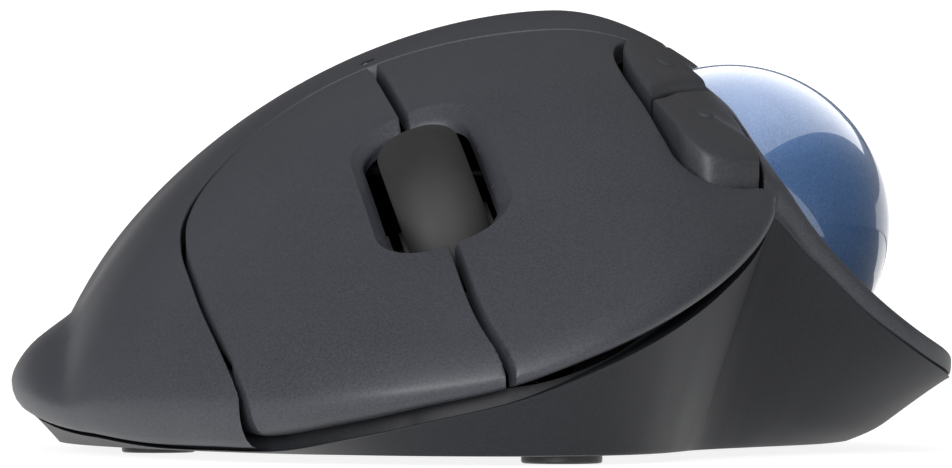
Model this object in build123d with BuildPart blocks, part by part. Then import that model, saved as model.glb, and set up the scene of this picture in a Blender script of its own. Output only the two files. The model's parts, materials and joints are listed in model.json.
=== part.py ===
"""Thumb-operated wireless trackball mouse, in millimetres.

+Z is up, the nose points to -Y, and the thumb side with the ball is +X.
The origin is on the desk, under the middle of the body.
"""
from build123d import *
import math
import os

os.makedirs("parts", exist_ok=True)

# ---- driving dimensions -------------------------------------------------
FOOT_THICKNESS = 0.8
WALL = 2.0
BASE_FLOOR = 1.8
BASE_INSIDE = FOOT_THICKNESS + BASE_FLOOR
SEAM = 0.5
LIP_RISE = 1.2
TIP_RISE = 3.0
KEY_BASE_GAP = 1.4
COVER_BASE_GAP = 0.3
CLEARANCE = 0.05

BALL_RADIUS = 17.0
BALL_CENTRE = Vector(26.9, -3, 24)
BALL_HOLE_RADIUS = 17.6
CUP_INNER = 17.5
CUP_OUTER = 19.6
OPENING_TILT = 58
BEARING_RADIUS = 1.25
EJECT_HOLE_RADIUS = 5.0

WHEEL_RADIUS = 12.3
WHEEL_HALF_WIDTH = 4.2
WHEEL_CENTRE = Vector(-2.3, -34.2, 20.8)
WHEEL_ROLL = 20
AXLE_RADIUS = 1.5
WINDOW_CENTRE = (-4.5, -38)
WINDOW_WIDTH = 10.6
WINDOW_LENGTH = 22.4
WINDOW_CORNER = 4.6
WINDOW_TURN = 11.7

BOARD_BOTTOM = 4.8
BOARD_THICKNESS = 1.6
BOARD_TOP = BOARD_BOTTOM + BOARD_THICKNESS

CELL_RADIUS = 7.25
CELL_LENGTH = 50.5
CELL_CENTRE = Vector(-14, 22.25, 11.6)

# Lower edge of the upper shells, as (x, y, z), clockwise from the corner of the left button.
RIM = [
    (-20, -57, 2.6), (-14, -62, 3.6), (-6, -65.8, 5.2), (4, -67, 7.4), (12, -65.2, 10.4),
    (18, -61, 13.2), (23, -54.5, 16.2), (26.6, -47, 19.4), (28.8, -40.5, 22.5), (29.8, -35.5, 25),
    (33.5, -32, 21.2), (39.5, -28, 15.5), (45, -22.5, 11.7), (48.9, -14.5, 9.6), (50, -4, 9),
    (49.3, 9, 8.5), (46.4, 22, 8), (41, 36, 7.5), (33, 50, 7), (21, 61, 6.5), (6, 66.5, 6),
    (-10, 66.8, 6), (-25, 60.5, 6), (-38, 48.5, 6), (-46.3, 32, 6), (-50, 14, 6), (-49.6, -1, 5.4),
    (-46.3, -15, 4.4), (-40.5, -28, 3.4), (-33.5, -40, 2.6), (-26.5, -50, 2.5),
]
# Outline of the underside, one point below each point of the rim.
FLOOR = [
    (-17, -53), (-12, -57), (-5, -61), (3, -62.5), (9.5, -60.8),
    (14.5, -56.5), (17.8, -50.5), (19.8, -44.5), (21, -40), (22.5, -36),
    (25.5, -31.5), (30, -25.5), (34.5, -19), (38, -12), (40.3, -4),
    (41.5, 8), (40.3, 21), (36.5, 33.5), (29.5, 46), (19, 55.5), (5.5, 60.5),
    (-9, 60.5), (-22.5, 54.5), (-34, 43.5), (-41.5, 29), (-45, 13), (-44.5, 0),
    (-41.5, -12.5), (-36.2, -25), (-29.5, -36.5), (-23, -46),
]
# Seams between the upper pieces, seen from above.
PALM_SEAM = [
    (-19, -60), (-22, -54.5), (-24.8, -47), (-27.5, -37), (-29.2, -28.5), (-29.4, -22),
    (-28.3, -17.5), (-25.8, -13.4), (-22, -9.6), (-17, -7.2), (-11, -6.7), (-3, -7.4), (6, -8.3),
    (16.6, -8.3),
]
SPLIT_GROOVE = [(-11, -6.7), (-8.6, -20), (-6.4, -30), (-2.2, -50), (0.9, -62), (3.2, -67), (5.4, -72)]
ROCKER_SLOT = [
    (16.6, -8.3), (15.2, -12.5), (14.7, -17), (15.4, -22), (17.4, -29.3), (19, -35), (20.1, -39),
    (22.1, -41.2), (25, -39.7), (28, -37),
]
THUMB_SEAM = [(19.6, -8.3), (22.6, -14), (26.2, -21), (27.8, -30), (28, -37)]
THUMB_SEAM_REAR = [(19.6, -8.3), (20.4, 2), (22.6, 12), (25, 24), (26.6, 36), (27.6, 50), (28, 72)]
NOSE_CORNER = [(28, -37), (30.2, -35.6), (40, -45)]
ROCKER_SPLIT = [(14, -35), (28, -8.9)]


# ---- the outer skin as one height field ---------------------------------
def smooth_curve(stations):
    """Curve through (place, value) stations, with the slope of a parabola at each."""
    places = [place for place, _ in stations]
    values = [value for _, value in stations]
    steps = [b - a for a, b in zip(places, places[1:])]
    rates = [(b - a) / step for a, b, step in zip(values, values[1:], steps)]
    slopes = [rates[0]]
    for before, after, step, next_step in zip(rates, rates[1:], steps, steps[1:]):
        slopes.append((before * next_step + after * step) / (step + next_step))
    slopes.append(rates[-1])

    def value_at(place):
        place = min(max(place, places[0]), places[-1])
        index = 0
        while index < len(steps) - 1 and place > places[index + 1]:
            index += 1
        step = steps[index]
        t = (place - places[index]) / step
        start = values[index] * (1 + 2 * t) * (1 - t) ** 2 + slopes[index] * step * t * (1 - t) ** 2
        end = values[index + 1] * t * t * (3 - 2 * t) + slopes[index + 1] * step * t * t * (t - 1)
        return start + end

    return value_at


def round_the_rim(value_of):
    """Closed curve of a value against the angle of each rim point."""
    stations = sorted((math.atan2(y, x), value_of(x, y, z)) for x, y, z in RIM)
    turn = 2 * math.pi
    before = [(angle - turn, value) for angle, value in stations[-3:]]
    after = [(angle + turn, value) for angle, value in stations[:3]]
    return smooth_curve(before + stations + after)


rim_radius = round_the_rim(lambda x, y, z: math.hypot(x, y))
rim_height = round_the_rim(lambda x, y, z: z)
crown_height = smooth_curve([
    (-68, 9.2), (-56, 18.7), (-44, 26.6), (-30, 35.2), (-12, 43.2), (8, 47.8),
    (28, 45.8), (44, 38), (56, 27), (63, 16.5), (68, 5),
])
crown_x = smooth_curve([
    (-68, 17), (-56, 15), (-44, 12.5), (-30, 11), (-12, 9.5), (8, 8.5), (28, 5), (48, 1), (68, -2),
])
left_span = smooth_curve([(-68, 38), (-56, 43), (-44, 47), (-30, 52), (-12, 54.8), (8, 55.7), (68, 55.7)])
right_drop = smooth_curve([(-68, 15), (-30, 17), (8, 24), (68, 27)])
DOME_POWER = 1.8


def smooth_max(a, b, blend):
    return 0.5 * (a + b + math.hypot(a - b, blend))


def smooth_min(a, b, blend):
    return 0.5 * (a + b - math.hypot(a - b, blend))


def dome(x, y):
    """The hump under the palm and the two main buttons."""
    across = x - crown_x(y)
    if across > 0:
        return crown_height(y) - right_drop(y) * (math.hypot(1, across / 20) - 1)
    reach = min(-across / left_span(y), 1)
    return crown_height(y) * (1 - reach ** DOME_POWER) ** (1 / DOME_POWER)


def flare(x, y):
    """The concave skirt that runs out to the rim, thicker at the tip away from the thumb."""
    angle = math.atan2(y, x)
    inset = rim_radius(angle) - math.hypot(x, y)
    edge = LIP_RISE + TIP_RISE * max(-math.cos(angle), 0) ** 4
    return rim_height(angle) + edge + 9 * math.tanh(0.8 * inset / 9)


def thumb_scoop(x, y):
    """The hollow slope on the thumb side, round the ball."""
    behind = max(y - 8, 0) / 59
    inset = 49.5 - x
    if y > 8:
        inset = 50 * (1 - math.hypot(x / 50, behind)) - 0.5
    turn = math.atan2(behind, max(x, 0.001) / 50)
    steeper = 1 + 3 * min(max(turn - 0.35, 0), 1) ** 2
    slope = steeper * (0.387 * inset + 0.0236 * inset * abs(inset))
    return 10.5 + slope + 0.003 * max(inset - 12, 0) ** 3


def skin(x, y):
    return smooth_min(smooth_max(dome(x, y), flare(x, y), 1.5), thumb_scoop(x, y), 1.0)


def skin_below(depth):
    """The skin moved in by a wall thickness, square to its slope."""
    def height(x, y):
        slope_x = skin(x + 0.5, y) - skin(x - 0.5, y)
        slope_y = skin(x, y + 0.5) - skin(x, y - 0.5)
        return skin(x, y) - depth * min(math.sqrt(1 + slope_x ** 2 + slope_y ** 2), 3)
    return height


def lip_below(drop):
    """A surface that meets the rim's lower edge all the way round, lowered by a drop."""
    def height(x, y):
        angle = math.atan2(y, x)
        share = min(math.hypot(x, y) / rim_radius(angle), 1.15)
        return 8 + (rim_height(angle) - 8) * share ** 2 - drop
    return height


# Half sizes that a wall thickness is divided by to scale an outline inwards.
HALF_WIDTH = 48
HALF_LENGTH = 64

SECTION_X = range(-56, 57, 4)
SECTION_Y = [-71, -66, -60, -54, -48, -42, -36, -30, -24, -18, -10, 0, 10, 20, 30, 40, 48, 55, 61, 66, 71]
DEEP = -20


def even_spline(points, periodic=False):
    """Spline whose points are evenly spaced in its parameter, so that stacked ones match."""
    count = len(points) + (1 if periodic else 0)
    parameters = [index / (count - 1) for index in range(count)]
    return Edge.make_spline(points, periodic=periodic, parameters=parameters)


def block_under(height):
    """Solid below a height field, lofted through cross-sections from nose to tail."""
    with BuildPart() as block:
        for y in SECTION_Y:
            with BuildSketch(Plane.XZ.offset(-y)):
                with BuildLine():
                    crest = [(x, max(height(x, y), -4)) for x in SECTION_X]
                    add(even_spline(crest))
                    Polyline(crest[-1], (SECTION_X[-1], DEEP), (SECTION_X[0], DEEP), crest[0])
                make_face()
        loft()
    return block.part


def rim_prism(scale_x, scale_y):
    """Upright block inside the rim's outline."""
    with BuildPart() as prism:
        with BuildSketch(Plane.XY.offset(-6)):
            with BuildLine():
                add(even_spline([(x * scale_x, y * scale_y) for x, y, _ in RIM], periodic=True))
            make_face()
        extrude(amount=80)
    return prism.part


SKIN_BLOCK = block_under(skin)
HOLLOW_BLOCK = block_under(skin_below(WALL))
RIB_BLOCK = block_under(skin_below(WALL / 2))

with BuildPart() as shell_hollow:
    add(rim_prism(1 - WALL / HALF_WIDTH, 1 - WALL / HALF_LENGTH))
    add(HOLLOW_BLOCK, mode=Mode.INTERSECT)

with BuildPart() as upper_shell:
    add(rim_prism(1, 1))
    add(SKIN_BLOCK, mode=Mode.INTERSECT)
    add(shell_hollow.part, mode=Mode.SUBTRACT)
    with Locations(BALL_CENTRE):
        Sphere(BALL_HOLE_RADIUS, mode=Mode.SUBTRACT)


def region(*curves):
    """Upright block over an area bounded by curves that meet end to end."""
    with BuildPart() as area:
        with BuildSketch(Plane.XY.offset(-8)):
            with BuildLine():
                for curve in curves:
                    if len(curve) > 3:
                        Spline(curve)
                    else:
                        Polyline(*curve)
            make_face()
        extrude(amount=80)
    return area.part


def seam_blade(curve, width=SEAM):
    """Thin upright wall along a seam, which cuts the gap between two pieces."""
    with BuildPart() as blade:
        with BuildSketch(Plane.XY.offset(-8)):
            with BuildLine():
                if len(curve) > 3:
                    Spline(curve)
                else:
                    Polyline(*curve)
            trace(line_width=width)
        extrude(amount=80)
    return blade.part


PALM_BLADE = seam_blade(PALM_SEAM)
GROOVE_BLADE = seam_blade(SPLIT_GROOVE, 0.9)
ROCKER_BLADE = seam_blade(ROCKER_SLOT, 0.7)
THUMB_BLADE = seam_blade(THUMB_SEAM)
REAR_BLADE = seam_blade(THUMB_SEAM_REAR)
CORNER_BLADE = seam_blade(NOSE_CORNER)
KEY_EDGE_BLADE = seam_blade([PALM_SEAM[-1], THUMB_SEAM[0]])

LEFT_AREA = region(PALM_SEAM[:11], SPLIT_GROOVE, [(5.4, -72), (-19, -72), (-19, -60)])
RIGHT_AREA = region(
    SPLIT_GROOVE[::-1], PALM_SEAM[10:], ROCKER_SLOT, NOSE_CORNER, [(40, -45), (40, -72), (5.4, -72)],
)
ROCKER_AREA = region(ROCKER_SLOT, THUMB_SEAM[::-1], [THUMB_SEAM[0], PALM_SEAM[-1]])
THUMB_AREA = region(
    NOSE_CORNER, THUMB_SEAM[::-1], THUMB_SEAM_REAR,
    [(28, 72), (60, 72), (60, -45)], [(60, -45), (40, -45)],
)


def shell_piece(area, blades, drop):
    """The part of the upper shell over an area, ending a drop below the rim's edge."""
    with BuildPart() as piece:
        add(upper_shell.part)
        add(area, mode=Mode.INTERSECT)
        for blade in blades:
            add(blade, mode=Mode.SUBTRACT)
        add(block_under(lip_below(drop)), mode=Mode.SUBTRACT)
    return piece.part.solids().sort_by(SortBy.VOLUME)[-1]


def write_part(part, label):
    part.label = label
    export_step(part, f"parts/{label}.step")


def square_prism(x_range, y_range, z_range):
    """Upright block between two limits each way."""
    with BuildPart() as block:
        with BuildSketch(Plane.XY.offset(z_range[0])):
            with Locations(((x_range[0] + x_range[1]) / 2, (y_range[0] + y_range[1]) / 2)):
                Rectangle(x_range[1] - x_range[0], y_range[1] - y_range[0])
        extrude(amount=z_range[1] - z_range[0])
    return block.part


def round_post(place, radius, bottom, top):
    """Upright cylinder at a place on the plan."""
    with BuildPart() as post:
        with BuildSketch(Plane.XY.offset(bottom)):
            with Locations(place):
                Circle(radius)
        extrude(amount=top - bottom)
    return post.part


# ---- places shared by several pieces ------------------------------------
HINGE_Y = -11
HINGE_Z = 29
HINGE_PIN_RADIUS = 1.0
HINGE_LUG_X = (-18, -5.6, 5.6)
KNUCKLE_Y = (-13.4, -8.8)
LEFT_SWITCH = (-15.8, -41.5)
RIGHT_SWITCH = (12, -47)
SWITCH_TOP = BOARD_TOP + 6.5
KEY_RIB_BOTTOM = SWITCH_TOP + 0.95
SIDE_BOARD_Z = 21
SIDE_SWITCHES = [(19, -30), (16.6, -22.8)]
BACK_STEM = (17, -22.6)
SIDE_STEM_BOTTOM = SIDE_BOARD_Z + 1.2 + 2.7
ROCKER_RISE = 1.0
CASE_SCREWS_PALM = [(-33, 32), (-33, -12), (8, 54.5)]
CASE_SCREWS_THUMB = [(33, 24)]
FRONT_FOOT = (8, -54)
BOARD_SCREWS = [(-21, -14), (6, -13), (-4, -53)]
SOCKET_LUG_ANGLES = (90, 215, 300)
SOCKET_LUG_RADIUS = 13.9
DOOR_X = (-22.1, 10.7)
DOOR_Y = (-6.4, 48.7)
DOOR_GAP = 0.3
DOOR_PIN_Y = -5.6
DOOR_MIDDLE_Z = 1.7
DOOR_HALF_THICKNESS = 0.85
SLIDER_PLACE = (-16, -28)
CONNECT_PLACE = (0, -16)
LIGHT_PLACE = (-11.6, -3.5)
COVER_DROP = KEY_BASE_GAP - COVER_BASE_GAP

COLUMN_RADIUS = 2.8
COLUMN_BOTTOM = 4.7
PILOT_RADIUS = 1.15
PILOT_TOP = 11
ABOVE_SKIN = 60

ROLL = math.radians(WHEEL_ROLL)
AXLE_DIRECTION = (math.cos(ROLL), 0, math.sin(ROLL))
WHEEL_UP = (-math.sin(ROLL), 0, math.cos(ROLL))
WHEEL_PLANE = Plane(origin=WHEEL_CENTRE, x_dir=AXLE_DIRECTION, z_dir=WHEEL_UP)
WHEEL_SECTION = Plane(origin=WHEEL_CENTRE, x_dir=AXLE_DIRECTION, z_dir=(0, -1, 0))
WHEEL_AXIS = Axis(WHEEL_CENTRE, AXLE_DIRECTION)
CARRIER_POST_Y = 14.9
CARRIER_POST_RADIUS = 1.1
CARRIER_POST_DEPTH = 20.3
CARRIER_SPRING_DEPTH = 18.7

TILT = math.radians(OPENING_TILT)
OPENING_PLANE = Plane(origin=BALL_CENTRE, x_dir=(0, 1, 0), z_dir=(math.sin(TILT), 0, math.cos(TILT)))
SENSOR_PLANE = Plane(origin=BALL_CENTRE, x_dir=(0, 1, 0), z_dir=(-math.cos(math.pi / 6), 0, -0.5))


# ---- upper shells -------------------------------------------------------
def up_to_skin(block):
    """The part of a block that lies under the shells, sunk halfway into their wall."""
    with BuildPart() as trimmed:
        add(block)
        add(RIB_BLOCK, mode=Mode.INTERSECT)
    return trimmed.part


def with_columns(shell, places):
    """Adds a screw column with a pilot hole at each place."""
    columns = [up_to_skin(round_post(place, COLUMN_RADIUS, COLUMN_BOTTOM, ABOVE_SKIN)) for place in places]
    with BuildPart() as piece:
        add(shell)
        for column in columns:
            add(column)
        for place in places:
            add(round_post(place, PILOT_RADIUS, COLUMN_BOTTOM - 0.7, PILOT_TOP), mode=Mode.SUBTRACT)
    return piece.part


def hinge_lug(middle_x):
    """Plate that hangs from the palm cover and holds the buttons' hinge pin."""
    with BuildPart() as lug:
        with BuildSketch(Plane.YZ.offset(middle_x - 1)):
            with BuildLine():
                Polyline(
                    (-13.2, 26.6), (-13.2, 31.2), (-8, 31.2), (-5.2, 34), (-5.2, 52),
                    (2, 52), (2, 34), (-8.6, 26.6), (-13.2, 26.6),
                )
            make_face()
            with Locations((HINGE_Y, HINGE_Z)):
                Circle(HINGE_PIN_RADIUS + 0.02, mode=Mode.SUBTRACT)
        extrude(amount=2)
        add(RIB_BLOCK, mode=Mode.INTERSECT)
    return lug.part


with BuildPart() as palm_skin:
    add(upper_shell.part)
    for area in (LEFT_AREA, RIGHT_AREA, ROCKER_AREA, THUMB_AREA):
        add(area, mode=Mode.SUBTRACT)
    for blade in (PALM_BLADE, KEY_EDGE_BLADE, REAR_BLADE):
        add(blade, mode=Mode.SUBTRACT)
    add(block_under(lip_below(COVER_DROP)), mode=Mode.SUBTRACT)
palm_shell = palm_skin.part.solids().sort_by(SortBy.VOLUME)[-1]

with BuildPart() as palm_cover:
    add(with_columns(palm_shell, CASE_SCREWS_PALM))
    for middle_x in HINGE_LUG_X:
        add(hinge_lug(middle_x))
    add(round_post(LIGHT_PLACE, 0.85, 30, 60), mode=Mode.SUBTRACT)
write_part(palm_cover.part, "palm_cover")

with BuildPart() as thumb_cover:
    add(with_columns(shell_piece(THUMB_AREA, [CORNER_BLADE, THUMB_BLADE, REAR_BLADE], COVER_DROP),
                     CASE_SCREWS_THUMB))
write_part(thumb_cover.part, "thumb_cover")


def main_button(shell, knuckle_x, rib_place):
    """A main button: its shell, the hinge knuckle at the rear and the rib over its switch."""
    knuckle_neck = up_to_skin(square_prism(knuckle_x, KNUCKLE_Y, (HINGE_Z, ABOVE_SKIN)))
    rib = up_to_skin(round_post(rib_place, 1.5, KEY_RIB_BOTTOM, ABOVE_SKIN))
    with BuildPart() as button:
        add(shell)
        add(knuckle_neck)
        add(rib)
        with BuildSketch(Plane.YZ.offset(knuckle_x[0])):
            with Locations((HINGE_Y, HINGE_Z)):
                Circle(2.4)
        extrude(amount=knuckle_x[1] - knuckle_x[0])
        with BuildSketch(Plane.YZ.offset(knuckle_x[0] - 1)):
            with Locations((HINGE_Y, HINGE_Z)):
                Circle(HINGE_PIN_RADIUS + CLEARANCE)
        extrude(amount=knuckle_x[1] - knuckle_x[0] + 2, mode=Mode.SUBTRACT)
    return button.part


def wheel_window():
    """Rounded slanted window in the buttons round the scroll wheel."""
    with BuildPart() as window:
        with BuildSketch(Plane.XY.offset(5)):
            with Locations(Location((*WINDOW_CENTRE, 0), (0, 0, WINDOW_TURN))):
                RectangleRounded(WINDOW_WIDTH, WINDOW_LENGTH, WINDOW_CORNER)
        extrude(amount=50)
    return window.part


WHEEL_WINDOW = wheel_window()
LEFT_SHELL = shell_piece(LEFT_AREA, [PALM_BLADE, GROOVE_BLADE, WHEEL_WINDOW], 0)
RIGHT_SHELL = shell_piece(
    RIGHT_AREA, [PALM_BLADE, GROOVE_BLADE, ROCKER_BLADE, CORNER_BLADE, WHEEL_WINDOW], 0,
)
with BuildPart() as left_button:
    add(main_button(LEFT_SHELL, (-16, -11.6), (LEFT_SWITCH[0], LEFT_SWITCH[1] - 2.5)))
write_part(left_button.part, "left_button")

with BuildPart() as right_button:
    add(main_button(RIGHT_SHELL, (-3.2, 3.4), (RIGHT_SWITCH[0], RIGHT_SWITCH[1] - 2.5)))
write_part(right_button.part, "right_button")

ROCKER_SHELL = shell_piece(ROCKER_AREA, [ROCKER_BLADE, THUMB_BLADE, KEY_EDGE_BLADE], 0)
SPLIT_BLADE = seam_blade(ROCKER_SPLIT)


def side_button(front, stem_place):
    """One of the two small buttons beside the ball, with the stem over its switch."""
    with BuildPart() as parted:
        add(ROCKER_SHELL)
        add(SPLIT_BLADE, mode=Mode.SUBTRACT)
    halves = parted.part.solids().sort_by(Axis.Y)
    half = halves[0] if front else halves[-1]
    raised = Pos(0, 0, ROCKER_RISE) * half
    stem = up_to_skin(round_post(stem_place, 0.9, SIDE_STEM_BOTTOM, ABOVE_SKIN))
    with BuildPart() as button:
        add(raised)
        add(stem)
        with Locations(BALL_CENTRE):
            Sphere(BALL_HOLE_RADIUS + 0.2, mode=Mode.SUBTRACT)
    return button.part


with BuildPart() as forward_button:
    add(side_button(True, SIDE_SWITCHES[0]))
write_part(forward_button.part, "forward_button")

with BuildPart() as back_button:
    add(side_button(False, BACK_STEM))
write_part(back_button.part, "back_button")

with BuildPart() as key_hinge_pin:
    with BuildSketch(Plane.YZ.offset(-19.2)):
        with Locations((HINGE_Y, HINGE_Z)):
            Circle(HINGE_PIN_RADIUS)
    extrude(amount=26.2)
write_part(key_hinge_pin.part, "key_hinge_pin")

with BuildPart() as light_pipe:
    add(round_post(LIGHT_PLACE, 0.8, 37, 60))
    add(SKIN_BLOCK, mode=Mode.INTERSECT)
write_part(light_pipe.part, "light_pipe")

with BuildPart() as indicator_led:
    with BuildSketch(Plane.XY.offset(35.6)):
        with Locations(LIGHT_PLACE):
            Rectangle(3.2, 2.4)
    extrude(amount=0.6)
    with BuildSketch(Plane.XY.offset(36.2)):
        with Locations(LIGHT_PLACE):
            Circle(0.7)
    extrude(amount=0.75)
write_part(indicator_led.part, "indicator_led")


# ---- base ---------------------------------------------------------------
BASE_LEVELS = [0.8, 2.5, 4, 6, 8, 10, 13, 16, 20, 27]


def base_block(inset, start):
    """Solid between the underside's outline and the rim's outline, level by level."""
    with BuildPart() as block:
        for level in [start] + [level for level in BASE_LEVELS if level > start + 0.1]:
            with BuildSketch(Plane.XY.offset(level)):
                with BuildLine():
                    outline = []
                    for (rim_x, rim_y, rim_z), (floor_x, floor_y) in zip(RIM, FLOOR):
                        rise = (level - FOOT_THICKNESS) / (rim_z - FOOT_THICKNESS)
                        share = min(max(rise, 0), 1)
                        x = floor_x + (rim_x - floor_x) * share
                        y = floor_y + (rim_y - floor_y) * share
                        outline.append((x * (1 - inset / HALF_WIDTH), y * (1 - inset / HALF_LENGTH)))
                    add(even_spline(outline, periodic=True))
                make_face()
        loft(ruled=True)
    return block.part


SCREW_PLACES = CASE_SCREWS_PALM + CASE_SCREWS_THUMB
SOCKET_LUGS = [
    (BALL_CENTRE.X + SOCKET_LUG_RADIUS * math.cos(math.radians(angle)),
     BALL_CENTRE.Y + SOCKET_LUG_RADIUS * math.sin(math.radians(angle)))
    for angle in SOCKET_LUG_ANGLES
]
BALL_PLACE = (BALL_CENTRE.X, BALL_CENTRE.Y)

with BuildPart() as base_shell:
    add(base_block(0, FOOT_THICKNESS))
    add(block_under(lip_below(KEY_BASE_GAP)), mode=Mode.INTERSECT)
    add(base_block(WALL, BASE_INSIDE), mode=Mode.SUBTRACT)
    for place in SCREW_PLACES:
        add(round_post(place, 3.4, BASE_INSIDE - 0.2, 4.6))
    for place in BOARD_SCREWS:
        add(round_post(place, 2.4, BASE_INSIDE - 0.2, BOARD_BOTTOM))
    for place in [(13, -33), (13, -24)]:
        add(round_post(place, 1.8, BASE_INSIDE - 0.2, SIDE_BOARD_Z))
    add(round_post(BALL_PLACE, EJECT_HOLE_RADIUS + 1.2, BASE_INSIDE - 0.2, 4.3))
    with BuildSketch(WHEEL_PLANE.offset(-CARRIER_POST_DEPTH)):
        with Locations((0, CARRIER_POST_Y), (0, -CARRIER_POST_Y)):
            Circle(CARRIER_POST_RADIUS)
    extrude(amount=CARRIER_POST_DEPTH - 5.7)
    for place in SCREW_PLACES:
        add(round_post(place, 2.4, 0, 2.5), mode=Mode.SUBTRACT)
        add(round_post(place, 1.2, 0, 6), mode=Mode.SUBTRACT)
    for place in BOARD_SCREWS:
        add(round_post(place, 1.05, 1.6, 6), mode=Mode.SUBTRACT)
    for place in SOCKET_LUGS:
        add(round_post(place, 1.05, 1.2, 4), mode=Mode.SUBTRACT)
    add(round_post(BALL_PLACE, EJECT_HOLE_RADIUS, 0, 6), mode=Mode.SUBTRACT)
    add(square_prism((DOOR_X[0] - DOOR_GAP, DOOR_X[1] + DOOR_GAP),
                     (DOOR_Y[0] - DOOR_GAP, DOOR_Y[1] + DOOR_GAP), (0, 3)), mode=Mode.SUBTRACT)
    with BuildSketch(Plane.YZ.offset(DOOR_X[0] - 1.5)):
        with Locations((DOOR_PIN_Y, DOOR_MIDDLE_Z)):
            Circle(0.55)
    extrude(amount=DOOR_X[1] - DOOR_X[0] + 3, mode=Mode.SUBTRACT)
    with BuildSketch(Plane.XY):
        with Locations(SLIDER_PLACE):
            SlotOverall(8.4, 3.6)
        with Locations(CONNECT_PLACE):
            Circle(2.0)
    extrude(amount=3, mode=Mode.SUBTRACT)
write_part(base_shell.part, "base_shell")

with BuildPart() as feet:
    for place in SCREW_PLACES + [FRONT_FOOT]:
        add(round_post(place, 3.8, 0, FOOT_THICKNESS - 0.02))
    fillet(feet.edges().group_by(Axis.Z)[0], 0.25)
write_part(feet.part, "feet")


def screws(places, head_z, head_radius, head_height, shank_radius, shank_end):
    """Pan-head screws; the shank runs from the head to its end, up or down."""
    top = head_z + head_height
    drive_depth = 0.6
    drive_z = head_z if shank_end > head_z else top - drive_depth
    with BuildPart() as group:
        for place in places:
            add(round_post(place, head_radius, head_z, top))
            add(round_post(place, shank_radius, min(shank_end, head_z), max(shank_end, top)))
        with BuildSketch(Plane.XY.offset(drive_z)):
            with Locations(*places):
                Rectangle(0.5, 2.2)
                Rectangle(2.2, 0.5)
        extrude(amount=drive_depth, mode=Mode.SUBTRACT)
    return group.part


write_part(screws(SCREW_PLACES, 0.95, 2.2, 1.5, 1.1, 10.5), "case_screws")
write_part(screws(BOARD_SCREWS, BOARD_TOP + 0.02, 1.9, 1.2, 1.0, 2.2), "board_screws")
write_part(screws(SOCKET_LUGS, 4.67, 1.9, 1.2, 1.0, 1.4), "socket_screws")


# ---- ball, its socket and the sensor ------------------------------------
with BuildPart() as trackball:
    with Locations(BALL_CENTRE):
        Sphere(BALL_RADIUS)
write_part(trackball.part, "trackball")

BEARING_TILT = math.radians(52)


def bearing_directions():
    """Three unit directions, evenly spaced round the deep end of the socket."""
    directions = []
    for turn in (90, 210, 330):
        across = math.sin(BEARING_TILT)
        local = (across * math.cos(math.radians(turn)), across * math.sin(math.radians(turn)),
                 -math.cos(BEARING_TILT))
        directions.append(OPENING_PLANE.from_local_coords(Vector(*local)) - BALL_CENTRE)
    return directions


with BuildPart() as ball_socket:
    with Locations(BALL_CENTRE):
        Sphere(CUP_OUTER)
    with BuildSketch(OPENING_PLANE):
        Circle(30)
    extrude(amount=30, mode=Mode.SUBTRACT)
    add(round_post(BALL_PLACE, 11.5, BASE_INSIDE + CLEARANCE, 8))
    add(round_post(BALL_PLACE, 9.5, 2, 6), mode=Mode.SUBTRACT)
    for place in SOCKET_LUGS:
        add(round_post(place, 2.4, BASE_INSIDE + CLEARANCE, 4.65))
        add(round_post(place, 1.05, 2, 6), mode=Mode.SUBTRACT)
    with Locations(BALL_CENTRE):
        Sphere(CUP_INNER, mode=Mode.SUBTRACT)
    add(round_post(BALL_PLACE, EJECT_HOLE_RADIUS, 2, 10), mode=Mode.SUBTRACT)
    with BuildSketch(SENSOR_PLANE.offset(14)):
        Circle(3.0)
    extrude(amount=10, mode=Mode.SUBTRACT)
    for direction in bearing_directions():
        with BuildSketch(Plane(origin=BALL_CENTRE + direction * 16, z_dir=direction)):
            Circle(BEARING_RADIUS + 0.02)
        extrude(amount=5, mode=Mode.SUBTRACT)
write_part(ball_socket.part, "ball_socket")

with BuildPart() as support_bearings:
    for direction in bearing_directions():
        with Locations(BALL_CENTRE + direction * (BALL_RADIUS + BEARING_RADIUS + 0.02)):
            Sphere(BEARING_RADIUS)
write_part(support_bearings.part, "support_bearings")

with BuildPart() as sensor_lens:
    with BuildSketch(SENSOR_PLANE.offset(17.9)):
        Circle(2.8)
    extrude(amount=2.1)
    with BuildSketch(SENSOR_PLANE.offset(19.8)):
        Rectangle(8, 8)
    extrude(amount=0.9)
write_part(sensor_lens.part, "sensor_lens")

with BuildPart() as optical_sensor:
    with BuildSketch(SENSOR_PLANE.offset(20.75)):
        Rectangle(9.9, 9.1)
    extrude(amount=2)
write_part(optical_sensor.part, "optical_sensor")

with BuildPart() as sensor_board:
    with BuildSketch(SENSOR_PLANE.offset(22.8)):
        Rectangle(14, 12)
    extrude(amount=1)
write_part(sensor_board.part, "sensor_board")


# ---- scroll wheel -------------------------------------------------------
with BuildPart() as wheel_tyre:
    with BuildSketch(WHEEL_SECTION):
        with BuildLine():
            Polyline((-WHEEL_HALF_WIDTH, 10.7), (-WHEEL_HALF_WIDTH, 8.5), (WHEEL_HALF_WIDTH, 8.5),
                     (WHEEL_HALF_WIDTH, 10.7))
            ThreePointArc((-WHEEL_HALF_WIDTH, 10.7), (0, WHEEL_RADIUS), (WHEEL_HALF_WIDTH, 10.7))
        make_face()
    revolve(axis=WHEEL_AXIS)
write_part(wheel_tyre.part, "wheel_tyre")

with BuildPart() as wheel_hub:
    with BuildSketch(WHEEL_SECTION):
        with BuildLine():
            Polyline(
                (-4.6, 1.52), (-4.6, 3), (-1.2, 3), (-1.2, 7), (-3.9, 7), (-3.9, 8.45),
                (3.9, 8.45), (3.9, 7), (1.2, 7), (1.2, 3), (4.6, 3), (4.6, 1.52), (-4.6, 1.52),
            )
        make_face()
    revolve(axis=WHEEL_AXIS)
write_part(wheel_hub.part, "wheel_hub")

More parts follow.
